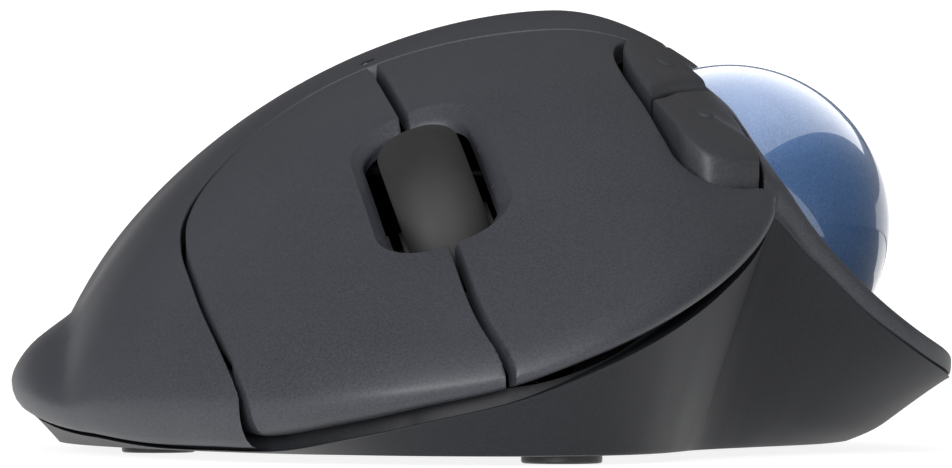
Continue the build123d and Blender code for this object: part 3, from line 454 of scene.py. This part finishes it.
def shell_piece(name, chosen, seams, drop, lip_size, raise_by=None, seam_size=(0.26, 0.24)):
    """A closed shell over the chosen faces: rounded top, walls in the seams and an inner face."""
    keep = chosen & in_rim & ~in_window
    for seam in seams:
        path, width = SEAMS[seam]
        keep &= distance_to(path, face_centres) > width / 2 - 0.01
    faces = sheet_faces[keep]
    used, faces = np.unique(faces, return_inverse=True)
    faces = faces.reshape(-1, 3)
    plan = sheet_points[used]
    x, y = plan.T
    top = skin(x, y) - HAIR_INSIDE
    below = np.maximum(inner_face(x, y), lip(x, y) - drop)
    if raise_by is not None:
        top = top + raise_by(x, y)
    edge = np.full(len(plan), 99.0)
    for seam in seams:
        path, width = SEAMS[seam]
        edge = np.minimum(edge, distance_to(path, plan) - width / 2)
    top = top - rounding(np.maximum(edge, 0), *seam_size)
    rim_gap = distance_to(rim_loop, plan, True)
    wall_height = rim_wall_height(x, y)
    lip_width = np.clip(lip_size * (0.8 + 0.75 * wall_height), 1.0, 5.5)
    top = top - rounding(rim_gap, lip_width, 0.2 + ROLL_SHARE * wall_height)
    from_window = np.maximum(window_distance(x, y), 0)
    bezel = BEZEL_DROP * np.clip(1 - from_window / BEZEL_WIDTH, 0, 1)
    top = top - bezel - rounding(from_window, 0.25, 0.2)
    from_hole = distance_to(hole_loop, plan, True)
    top = top - rounding(from_hole, 0.8, 0.6)
    curl = rim_curl(x, y)
    below = np.where(rim_gap < RIM_WALL, lip(x, y) - drop, below)
    below = np.minimum(below, top - 0.25)
    tuck = curl * np.clip(1 - rim_gap / (2.5 * curl), 0, 1)
    return closed_mesh(name, plan, faces, top, below, inward_from_rim(plan) * tuck[:, None])


def closed_mesh(name, plan, faces, top, below, tuck):
    """Mesh between two height sheets on one triangulation, closed by walls that curl in by the tuck."""
    count = len(plan)
    corners = plan[faces]
    first, second = corners[:, 1] - corners[:, 0], corners[:, 2] - corners[:, 0]
    turned = first[:, 0] * second[:, 1] - first[:, 1] * second[:, 0] < 0
    faces = np.where(turned[:, None], faces[:, ::-1], faces)
    edges = np.concatenate([faces[:, [0, 1]], faces[:, [1, 2]], faces[:, [2, 0]]])
    keys = set(map(tuple, edges.tolist()))
    border = sorted((b, a) for a, b in keys if (b, a) not in keys)
    border_points = sorted({point for pair in border for point in pair})
    sheets = [np.column_stack([plan, top]), np.column_stack([plan + tuck, below])]
    rings = [dict(zip(border_points, border_points))]
    first = 2 * count
    for turn in (0.2, 0.4, 0.6, 0.8):
        sideways = 1 - math.cos(turn * math.pi / 2)
        down = math.sin(turn * math.pi / 2)
        at = np.array(border_points)
        ring = np.column_stack([plan[at] + sideways * tuck[at], top[at] + down * (below[at] - top[at])])
        sheets.append(ring)
        rings.append({point: first + place for place, point in enumerate(border_points)})
        first += len(border_points)
    rings.append({point: point + count for point in border_points})
    walls = [(upper[b], upper[a], lower[a], lower[b])
             for upper, lower in zip(rings[:-1], rings[1:]) for b, a in border]
    polygons = faces.tolist() + (faces[:, ::-1] + count).tolist() + walls
    return make_mesh(name, np.concatenate(sheets), polygons)


def make_mesh(name, vertices, polygons, sharp_angle=32):
    """Smooth-shaded object from millimetre vertices."""
    mesh = bpy.data.meshes.new(name)
    mesh.from_pydata((np.asarray(vertices) * MM).tolist(), [], polygons)
    mesh.validate()
    mesh.shade_smooth()
    mesh.set_sharp_from_angle(angle=math.radians(sharp_angle))
    piece = bpy.data.objects.new(name, mesh)
    bpy.context.scene.collection.objects.link(piece)
    return piece


def bump(x, y):
    """Small oval marks that a finger finds on the two side buttons."""
    height = 0
    for centre_x, centre_y in BUMPS:
        reach = np.hypot((x - centre_x) / 1.0, (y - centre_y) / 1.1)
        height = height + 0.38 * np.clip(1 - reach ** 4, 0, 1) ** 0.5
    return height


def front_rise(x, y):
    return 0.35 + 1.9 * ease((-25 - y) / 13) + bump(x, y)


def back_rise(x, y):
    return 1.15 + bump(x, y)


KEY_LIP = 1.0
COVER_LIP = 0.8
THUMB_LIP = 0.45
taken = in_area["left"] | in_area["right"] | in_area["rockers"] | in_area["thumb"]
left_button = shell_piece("left_button_skin", in_area["left"], ("palm", "groove"), 0, KEY_LIP)
right_button = shell_piece("right_button_skin", in_area["right"] & ~in_area["left"],
                           ("palm", "groove", "rocker", "corner"), 0, KEY_LIP)
forward_button = shell_piece("forward_button_skin", in_area["rockers"] & in_area["front"],
                             ("rocker", "thumb", "split"), 0, KEY_LIP, front_rise, (0.45, 0.4))
back_button = shell_piece("back_button_skin", in_area["rockers"] & ~in_area["front"],
                          ("rocker", "thumb", "split", "key_edge"), 0, KEY_LIP, back_rise, (0.7, 0.7))
thumb_cover = shell_piece("thumb_cover_skin",
                          in_area["thumb"] & ~in_area["right"] & ~in_area["rockers"] & ~in_hole,
                          ("corner", "thumb", "rear"), COVER_DROP, THUMB_LIP)
palm_cover = shell_piece("palm_cover_skin", ~taken & ~in_light,
                         ("palm", "key_edge", "rear"), COVER_DROP, COVER_LIP)


# ---- base ---------------------------------------------------------------
def base_piece():
    """The lower tray: flared outer wall, rounded foot, ledge and a floor with openings."""
    count = 420
    rim = closed_loop(RIM, count)
    foot = closed_loop(FLOOR, count)
    top_z = rim[:, 2] - KEY_BASE_GAP
    hollow = closed_loop([(0,)] * 9 + [(0.6,), (1.3,), (1.7,), (1.5,), (0.8,)] + [(0,)] * 17, count)
    foot_roll = [(0.8,), (1.8,), (2.2,), (2.2,), (2.0,), (1.2,), (0.4,)]
    rolled = closed_loop([(0,)] * 10 + foot_roll + [(0,)] * 14, count)
    curl = rim_curl(rim[:, 0], rim[:, 1])[:, None]
    edge = offset_path(rim[:, :2], curl, True)
    inward = offset_path(rim[:, :2], 1.0, True) - rim[:, :2]
    rows = []

    def add_row(plan, z):
        rows.append(np.column_stack([plan, z]))

    def wall_plan(share):
        bow = hollow * np.sin(math.pi * share) + rolled * np.maximum(1 - share / 0.3, 0) ** 2
        return foot + (edge - foot) * share + inward * bow

    add_row(wall_plan(0) + 0.6 * inward, np.full(count, FLOOR_LEVEL))
    add_row(wall_plan(0) + 0.12 * inward, np.full(count, FLOOR_LEVEL + 0.05))
    for share in (0.015, 0.04, 0.07, 0.11, 0.16, 0.22, 0.3, 0.4, 0.5, 0.6, 0.7, 0.8, 0.9, 0.97):
        add_row(wall_plan(share), FLOOR_LEVEL + (top_z - FLOOR_LEVEL) * share)
    add_row(edge + 0.02 * inward, top_z - 0.06)
    add_row(edge + 0.12 * inward, top_z)
    add_row(edge + 1.4 * inward, top_z)
    shield = edge + 2.0 * inward
    roof = inner_face(shield[:, 0], shield[:, 1]) - 2.4
    shield_rise = np.interp(rim[:, 0], (4, 12), (0.4, -0.7))
    shield_z = np.maximum(np.minimum(rim[:, 2] + shield_rise, roof), top_z + 0.05)
    add_row(shield, top_z + 0.02)
    add_row(shield + 0.05 * inward, shield_z)
    add_row(shield + 0.6 * inward, shield_z)
    inner_z = np.minimum(FLOOR_INSIDE, top_z - 0.35)
    inner_share = ((inner_z - FLOOR_LEVEL) / (top_z - FLOOR_LEVEL))[:, None]
    add_row(wall_plan(inner_share) + 1.9 * inward, inner_z + 0.1)
    wall_rows = np.array(rows)
    vertices = wall_rows.reshape(-1, 3).tolist()
    polygons = []
    for row in range(len(rows) - 1):
        for i in range(count):
            j = (i + 1) % count
            a, b = row * count + i, row * count + j
            polygons.append((b, a, a + count, b + count))
    openings = [
        np.array([(-22.4, -6.7), (11, -6.7), (11, 49), (-22.4, 49)]),
        circle_loop((26.9, -3), 5.0, 64),
        circle_loop((0, -16), 2.0, 40),
        slot_loop((-16, -28), 8.4, 3.6),
    ]
    for outline, level, facing in ((rows[0], 0, -1), (rows[-1], 1, 1)):
        loop = outline[:, :2]
        points = [tuple(p) for p in loop]
        edges = [(i, (i + 1) % count) for i in range(count)]
        for opening in openings:
            first = len(points)
            points += [tuple(p) for p in opening]
            edges += [(first + i, first + (i + 1) % len(opening)) for i in range(len(opening))]
        grid = np.array([(gx, gy) for gx in np.arange(-50, 51, 4.0) for gy in np.arange(-66, 67, 4.0)])
        keep = inside(loop, grid) & (distance_to(loop, grid, True) > 2)
        for opening in openings:
            keep &= ~inside(opening, grid) & (distance_to(opening, grid, True) > 1)
        points += [tuple(p) for p in grid[keep]]
        found, _, faces, *_ = delaunay_2d_cdt([Vector(p) for p in points], edges, [], 0, 1e-4)
        found = np.array([tuple(p) for p in found])
        centres = np.array([found[list(face)].mean(axis=0) for face in faces])
        chosen = inside(loop, centres)
        for opening in openings:
            chosen &= ~inside(opening, centres)
        if level:
            z = np.minimum(FLOOR_INSIDE, lip(found[:, 0], found[:, 1]) - KEY_BASE_GAP - 0.3)
        else:
            z = np.full(len(found), FLOOR_LEVEL)
        first = len(vertices)
        vertices += np.column_stack([found, z]).tolist()
        for face, wanted in zip(faces, chosen):
            if wanted:
                (ax, ay), (bx, by), (cx, cy) = found[list(face)]
                area = (bx - ax) * (cy - ay) - (by - ay) * (cx - ax)
                order = face if area * facing > 0 else face[::-1]
                polygons.append(tuple(first + i for i in order))
    for opening in openings:
        first = len(vertices)
        size = len(opening)
        vertices += [(px, py, FLOOR_LEVEL) for px, py in opening]
        vertices += [(px, py, FLOOR_INSIDE) for px, py in opening]
        polygons += [(first + i, first + (i + 1) % size, first + size + (i + 1) % size, first + size + i)
                     for i in range(size)]
    piece = make_mesh("base_tray", vertices, polygons)
    weld(piece)
    return piece


def weld(piece, gap=0.004):
    """Joins points of a mesh that lie on each other."""
    shape = bmesh.new()
    shape.from_mesh(piece.data)
    bmesh.ops.remove_doubles(shape, verts=shape.verts, dist=gap * MM)
    shape.to_mesh(piece.data)
    shape.free()
    piece.data.shade_smooth()
    piece.data.set_sharp_from_angle(angle=math.radians(40))


def slot_loop(centre, length, width):
    """Outline of a slot with round ends along X."""
    radius = width / 2
    reach = length / 2 - radius
    turn = np.linspace(-math.pi / 2, math.pi / 2, 17)
    right = np.column_stack([centre[0] + reach + radius * np.cos(turn), centre[1] + radius * np.sin(turn)])
    left = np.column_stack([centre[0] - reach - radius * np.cos(turn), centre[1] - radius * np.sin(turn)])
    return np.concatenate([right, left])


base = base_piece()


# ---- ball and wheel -----------------------------------------------------
def ball_piece():
    """Polished ball from an evenly divided cube, so that it has no poles."""
    vertices = []
    polygons = []
    steps = 48
    for axis in range(3):
        for side in (-1, 1):
            first = len(vertices)
            for i in range(steps + 1):
                for j in range(steps + 1):
                    a = math.tan((i / steps - 0.5) * math.pi / 2)
                    b = math.tan((j / steps - 0.5) * math.pi / 2)
                    point = np.roll([side, a, b], axis)
                    vertices.append(BALL_CENTRE + BALL_RADIUS * point / np.linalg.norm(point))
            for i in range(steps):
                for j in range(steps):
                    corner = first + i * (steps + 1) + j
                    quad = (corner, corner + steps + 1, corner + steps + 2, corner + 1)
                    polygons.append(quad if side > 0 else quad[::-1])
    piece = make_mesh("polished_ball", vertices, polygons, 180)
    weld(piece)
    return piece


def wheel_piece():
    """Barrel-shaped rubber tyre with rounded shoulders, turned round the slanted axle."""
    axle = np.array([math.cos(WHEEL_ROLL), 0, math.sin(WHEEL_ROLL)])
    up = np.array([-math.sin(WHEEL_ROLL), 0, math.cos(WHEEL_ROLL)])
    ahead = np.array([0, 1, 0])
    profile = [(-3.2, 8.5), (-3.9, 8.8), (-4.15, 9.4), (-4.15, 10.0)]
    for step in range(33):
        share = step / 16 - 1
        crown = 12.25 - 1.45 * abs(share) ** 2.6
        shoulder = 0.42 * (abs(share) ** 14)
        profile.append((4.12 * share, crown - shoulder))
    profile += [(4.15, 10.0), (4.15, 9.4), (3.9, 8.8), (3.2, 8.5)]
    turns = 160
    vertices = []
    for along, radius in profile:
        for turn in range(turns):
            angle = 2 * math.pi * turn / turns
            vertices.append(WHEEL_CENTRE + axle * along
                            + radius * (up * math.cos(angle) + ahead * math.sin(angle)))
    polygons = []
    size = len(profile)
    for row in range(size):
        for turn in range(turns):
            a = row * turns + turn
            b = row * turns + (turn + 1) % turns
            c = ((row + 1) % size) * turns + (turn + 1) % turns
            d = ((row + 1) % size) * turns + turn
            polygons.append((a, b, c, d))
    return make_mesh("rubber_tyre", vertices, polygons, 60)


ball = ball_piece()
tyre = wheel_piece()


# ---- materials ----------------------------------------------------------
class Recipe:
    """A node material under construction: short ways to add the nodes that recur."""

    def __init__(self, name):
        self.material = bpy.data.materials.new(name)
        self.material.use_nodes = True
        self.tree = self.material.node_tree
        self.shader = self.tree.nodes["Principled BSDF"]
        self.place = self.tree.nodes.new("ShaderNodeTexCoord").outputs["Object"]

    def noise(self, scale, detail=2.0, roughness=0.5):
        node = self.tree.nodes.new("ShaderNodeTexNoise")
        node.inputs["Scale"].default_value = scale
        node.inputs["Detail"].default_value = detail
        node.inputs["Roughness"].default_value = roughness
        self.tree.links.new(self.place, node.inputs["Vector"])
        return node.outputs["Fac"]

    def cells(self, scale):
        node = self.tree.nodes.new("ShaderNodeTexVoronoi")
        node.inputs["Scale"].default_value = scale
        self.tree.links.new(self.place, node.inputs["Vector"])
        return node

    def ramp(self, source, stops):
        node = self.tree.nodes.new("ShaderNodeValToRGB")
        elements = node.color_ramp.elements
        while len(elements) < len(stops):
            elements.new(0.5)
        for element, (place, colour) in zip(elements, stops):
            element.position = place
            element.color = (*colour, 1)
        self.tree.links.new(source, node.inputs["Fac"])
        return node.outputs["Color"]

    def spread(self, source, low, high):
        node = self.tree.nodes.new("ShaderNodeMapRange")
        node.inputs["To Min"].default_value = low
        node.inputs["To Max"].default_value = high
        node.inputs["From Min"].default_value = 0.3
        node.inputs["From Max"].default_value = 0.7
        self.tree.links.new(source, node.inputs["Value"])
        return node.outputs["Result"]

    def mix(self, share, first, second):
        node = self.tree.nodes.new("ShaderNodeMix")
        node.data_type = "RGBA"
        for value, socket in ((share, node.inputs[0]), (first, node.inputs[6]), (second, node.inputs[7])):
            if isinstance(value, (int, float)):
                socket.default_value = value
            elif isinstance(value, tuple):
                socket.default_value = (*value, 1)
            else:
                self.tree.links.new(value, socket)
        return node.outputs[2]

    def bump(self, height, strength, depth, under=None):
        node = self.tree.nodes.new("ShaderNodeBump")
        node.inputs["Strength"].default_value = strength
        node.inputs["Distance"].default_value = depth
        self.tree.links.new(height, node.inputs["Height"])
        if under is not None:
            self.tree.links.new(under, node.inputs["Normal"])
        return node.outputs["Normal"]

    def feed(self, socket, source):
        self.tree.links.new(source, self.shader.inputs[socket])

    def fixed(self, socket, value):
        self.shader.inputs[socket].default_value = value


def grained_plastic(name, dark, light, roughness=(0.44, 0.56), grain=4600, depth=0.00003, specular=0.42):
    """Matte moulded plastic with a fine spark-eroded grain, faint mottling and rubbed high spots."""
    recipe = Recipe(name)
    grains = recipe.noise(grain, 3, 0.62)
    mottle = recipe.noise(55, 4)
    smudge = recipe.noise(18, 3, 0.6)
    colour = recipe.ramp(grains, [(0.30, dark), (0.72, light)])
    lifted = tuple(channel * 1.13 for channel in light)
    colour = recipe.mix(recipe.spread(mottle, 0.0, 0.22), colour, lifted)
    recipe.feed("Base Color", colour)
    recipe.feed("Roughness", recipe.spread(smudge, *roughness))
    coarse = recipe.bump(mottle, 0.08, 0.0001)
    recipe.feed("Normal", recipe.bump(grains, 0.32, depth, coarse))
    recipe.fixed("Specular IOR Level", specular)
    return recipe.material


def pearl_ball():
    """Blue pearl resin: fine flakes under a clear gloss coat."""
    recipe = Recipe("ball_pearl")
    flakes = recipe.cells(6500)
    cloud = recipe.noise(900, 4, 0.6)
    sparkle = recipe.ramp(flakes.outputs["Color"],
                          [(0.2, (0.014, 0.050, 0.135)), (0.9, (0.034, 0.090, 0.205))])
    colour = recipe.mix(recipe.spread(cloud, 0.0, 0.5), sparkle, (0.020, 0.064, 0.165))
    recipe.feed("Base Color", colour)
    recipe.feed("Roughness", recipe.spread(cloud, 0.40, 0.46))
    recipe.fixed("Metallic", 0.35)
    recipe.fixed("Coat Weight", 1.0)
    recipe.fixed("Coat Roughness", 0.012)
    recipe.feed("Normal", recipe.bump(flakes.outputs["Distance"], 0.06, 0.00001))
    return recipe.material


def smooth_rubber():
    """Dark wheel rubber with a faint bloom and fine moulding pores."""
    recipe = Recipe("wheel_rubber")
    pores = recipe.noise(1800, 3, 0.6)
    bloom = recipe.noise(120, 4)
    colour = recipe.ramp(bloom, [(0.3, (0.009, 0.009, 0.009)), (0.7, (0.016, 0.016, 0.016))])
    recipe.feed("Base Color", colour)
    recipe.feed("Roughness", recipe.spread(bloom, 0.58, 0.68))
    recipe.feed("Normal", recipe.bump(pores, 0.2, 0.00002))
    recipe.fixed("Specular IOR Level", 0.36)
    return recipe.material


def brushed_metal(name, tint, roughness=0.28):
    """Turned or drawn metal with fine lines and a little tarnish."""
    recipe = Recipe(name)
    lines = recipe.noise(900, 2, 0.7)
    tarnish = recipe.noise(140, 4)
    darker = tuple(channel * 0.72 for channel in tint)
    recipe.feed("Base Color", recipe.mix(recipe.spread(tarnish, 0.0, 0.8), tint, darker))
    recipe.feed("Roughness", recipe.spread(lines, roughness - 0.08, roughness + 0.12))
    recipe.feed("Normal", recipe.bump(lines, 0.15, 0.00002))
    recipe.fixed("Metallic", 1.0)
    return recipe.material


def clear_plastic(name, dark, light):
    """Clear or smoked moulded light guide or lens."""
    recipe = Recipe(name)
    haze = recipe.noise(300, 3)
    recipe.feed("Base Color", recipe.ramp(haze, [(0.3, dark), (0.7, light)]))
    recipe.feed("Roughness", recipe.spread(haze, 0.12, 0.22))
    recipe.feed("Normal", recipe.bump(haze, 0.05, 0.00002))
    recipe.fixed("Transmission Weight", 0.5)
    return recipe.material


shell_plastic = grained_plastic("shell_plastic", (0.0145, 0.0155, 0.0205), (0.0395, 0.041, 0.050))
button_plastic = grained_plastic("side_button_plastic", (0.0135, 0.014, 0.0175), (0.034, 0.035, 0.041))
base_plastic = grained_plastic("base_plastic", (0.005, 0.0055, 0.007), (0.013, 0.014, 0.0175), specular=0.24)
black_plastic = grained_plastic("inner_black_plastic", (0.006, 0.006, 0.0065), (0.012, 0.012, 0.013),
                                (0.5, 0.62), 1400)
pad_plastic = grained_plastic("foot_plastic", (0.018, 0.018, 0.019), (0.03, 0.03, 0.032), (0.32, 0.42), 1200)
grey_plastic = grained_plastic("grey_plastic", (0.10, 0.10, 0.105), (0.14, 0.14, 0.148), (0.4, 0.5), 1500)
board_green = grained_plastic("board_mask", (0.003, 0.018, 0.009), (0.006, 0.030, 0.015), (0.35, 0.5), 500)
white_package = grained_plastic("white_package", (0.7, 0.7, 0.66), (0.82, 0.82, 0.78), (0.3, 0.4), 900)
cell_sleeve = grained_plastic("cell_sleeve", (0.05, 0.13, 0.06), (0.08, 0.19, 0.09), (0.2, 0.32), 700)
lead_rubber = grained_plastic("lead_rubber", (0.36, 0.02, 0.015), (0.46, 0.035, 0.02), (0.4, 0.5), 900)
ceramic = grained_plastic("ceramic", (0.72, 0.72, 0.70), (0.82, 0.82, 0.80), (0.08, 0.14), 800)
steel = brushed_metal("steel", (0.55, 0.55, 0.57))
# Painted shade: a near-black steel for the parts seen through the wheel window gap, dark in place of the
# shade that falls in that gap.
gap_shade_dark_steel = brushed_metal("gap_shade_dark_steel", (0.020, 0.020, 0.022), 0.45)
nickel = brushed_metal("nickel", (0.62, 0.60, 0.54), 0.22)
ball_pearl = pearl_ball()
wheel_rubber = smooth_rubber()
clear = clear_plastic("clear_plastic", (0.50, 0.52, 0.54), (0.60, 0.62, 0.64))
smoked_clear = clear_plastic("smoked_clear", (0.03, 0.032, 0.036), (0.05, 0.053, 0.058))


def dress(thing, material):
    """Gives an object this one material."""
    thing.data.materials.clear()
    thing.data.materials.append(material)


for piece, body, node, slot_name, material in [
    (palm_cover, "base", "palm_cover", "shell", shell_plastic),
    (thumb_cover, "base", "thumb_cover", "shell", shell_plastic),
    (left_button, "left_button", "left_button", "shell", shell_plastic),
    (right_button, "right_button", "right_button", "shell", shell_plastic),
    (forward_button, "forward_button", "forward_button", "side_buttons", button_plastic),
    (back_button, "back_button", "back_button", "side_buttons", button_plastic),
    (base, "base", "base_shell", "base", base_plastic),
    (ball, "trackball", "trackball", "ball", ball_pearl),
    (tyre, "scroll_wheel", "wheel_tyre", "tyre", wheel_rubber),
]:
    dress(piece, material)
    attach(piece, body)
    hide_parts(node)

SLOT_MATERIALS = {
    "base": base_plastic, "feet": pad_plastic, "socket": black_plastic, "ceramic": ceramic, "clear": clear,
    "chip": black_plastic, "board": board_green, "steel": steel, "nickel": nickel, "hub": black_plastic,
    "carrier": black_plastic, "encoder": black_plastic, "switch": black_plastic, "slider": grey_plastic,
    "tray": black_plastic, "cell": cell_sleeve, "receiver": black_plastic, "leads": lead_rubber,
    "led": white_package, "shell": shell_plastic, "side_buttons": button_plastic, "ball": ball_pearl,
    "tyre": wheel_rubber,
}
for part in frame["record"]["subparts"]:
    node = frame["nodes"][part["node"]]
    for index in range(len(node.material_slots)):
        node.material_slots[index].material = SLOT_MATERIALS[part["material_slot"]]
# The wheel axle, carrier springs and hinge pin get the near-black steel, painted shade for the window gap;
# the light pipe gets smoked clear.
for name, material in (("wheel_axle", gap_shade_dark_steel), ("carrier_springs", gap_shade_dark_steel),
                       ("key_hinge_pin", gap_shade_dark_steel), ("light_pipe", smoked_clear)):
    dress(frame["nodes"][name], material)


# ---- floor, light and camera, in metres ----------------------------------
# The floor card lies a hair under the feet, so that the two never share a plane.
FLOOR_CARD_LEVEL = -0.00005


def staged_card(name, corners, colour, glow):
    """Flat staged panel of plain paper that gives off a little light of its own."""
    mesh = bpy.data.meshes.new(name)
    mesh.from_pydata(corners, [], [(0, 1, 2, 3)])
    card = bpy.data.objects.new(name, mesh)
    bpy.context.scene.collection.objects.link(card)
    paper = Recipe(name + "_paper")
    fibre = paper.noise(40, 3)
    paper.feed("Base Color", paper.ramp(fibre, [(0.3, colour), (0.7, tuple(c * 1.02 for c in colour))]))
    paper.fixed("Roughness", 0.9)
    paper.fixed("Specular IOR Level", 0.1)
    paper.fixed("Emission Color", (1, 1, 1, 1))
    paper.fixed("Emission Strength", glow)
    dress(card, paper.material)
    return card


def soft_box(name, place, size, power, target=None, spin=0.0, upward=False):
    """Rectangular lamp aimed at a point, or laid flat; spun round its own axis, power in watts."""
    lamp = bpy.data.lights.new(name, "AREA")
    lamp.shape = "RECTANGLE"
    lamp.size, lamp.size_y = size
    lamp.energy = power
    holder = bpy.data.objects.new(name, lamp)
    holder.location = place
    if target is None:
        holder.rotation_euler = Euler((math.pi if upward else 0, 0, math.radians(spin)))
    else:
        aim = (Vector(target) - Vector(place)).to_track_quat("-Z", "Y")
        holder.rotation_euler = (aim @ Quaternion((0, 0, 1), math.radians(spin))).to_euler()
    holder.visible_camera = False
    bpy.context.scene.collection.objects.link(holder)
    return holder


def lit_only(name, lamp, things):
    """Lets a lamp or a glowing card light only these objects."""
    group = bpy.data.collections.new(name)
    for thing in things:
        group.objects.link(thing)
    lamp.light_linking.receiver_collection = group


def studio():
    """Pale floor and backdrop, soft boxes, a dark flag behind the ball and a grey surround."""
    reach = 5.0
    corners = [(-reach, -reach), (reach, -reach), (reach, 3), (-reach, 3)]
    floor = staged_card("studio_floor", [(x, y, FLOOR_CARD_LEVEL) for x, y in corners],
                        (0.32, 0.32, 0.32), 0.87)
    staged_card("studio_backdrop", [(-2, 3, 0), (4, 3, 0), (4, 3, 0.6), (-2, 3, 0.6)], (0.4, 0.4, 0.4), 1.0)
    staged_card("studio_flag", [(-1.2, 1.2, 0.27), (0.62, 1.2, 0.27), (0.62, 1.2, 0.6), (-1.2, 1.2, 0.6)],
                (0.01, 0.01, 0.01), 0.0)
    world = bpy.data.worlds.new("studio_surround")
    world.use_nodes = True
    world.node_tree.nodes["Background"].inputs["Color"].default_value = (1, 1, 1, 1)
    world.node_tree.nodes["Background"].inputs["Strength"].default_value = 0.26
    bpy.context.scene.world = world
    middle = (0.0, 0.0, 0.02)
    ball_middle = tuple(BALL_CENTRE * MM)
    soft_box("key_box", (-0.12, -0.62, 0.60), (0.6, 0.4), 2.8, middle)
    soft_box("front_fill", (-0.32, -0.85, 0.18), (0.8, 0.3), 9.0, middle)
    soft_box("top_box", (0.1, -0.1, 0.9), (0.7, 0.5), 0.4, middle)
    ceiling = soft_box("ceiling_panel", (0.1425, 0.491, 0.524), (1.905, 1.0), 17.0, spin=64.8)
    side = soft_box("side_panel", (0.134, -0.122, 0.027), (0.133, 0.069), 0.062, ball_middle, spin=-47.7)
    strip = soft_box("rim_strip", (0.785, 0.949, 0.002), (0.4, 2.2), 3.6, spin=-48, upward=True)
    for lamp in (ceiling, side, strip):
        lit_only("ball_under_" + lamp.name, lamp, [ball])
    meshes = [thing for thing in bpy.context.scene.objects if thing.type == "MESH"]
    lit_only("all_but_the_ball", floor, [thing for thing in meshes if thing != ball])


def photo_camera():
    """Long lens, close to the desk, in front of the nose and tipped up a little."""
    data = bpy.data.cameras.new("photo_camera")
    data.sensor_width = 36
    data.lens = 150.1
    data.clip_start = 0.01
    camera = bpy.data.objects.new("photo_camera", data)
    camera.location = (0, -0.425, 0.010)
    camera.rotation_euler = (math.radians(90 + 1.76), 0, 0)
    bpy.context.scene.collection.objects.link(camera)
    bpy.context.scene.camera = camera


studio()
photo_camera()
bpy.context.scene.view_settings.view_transform = "Standard"
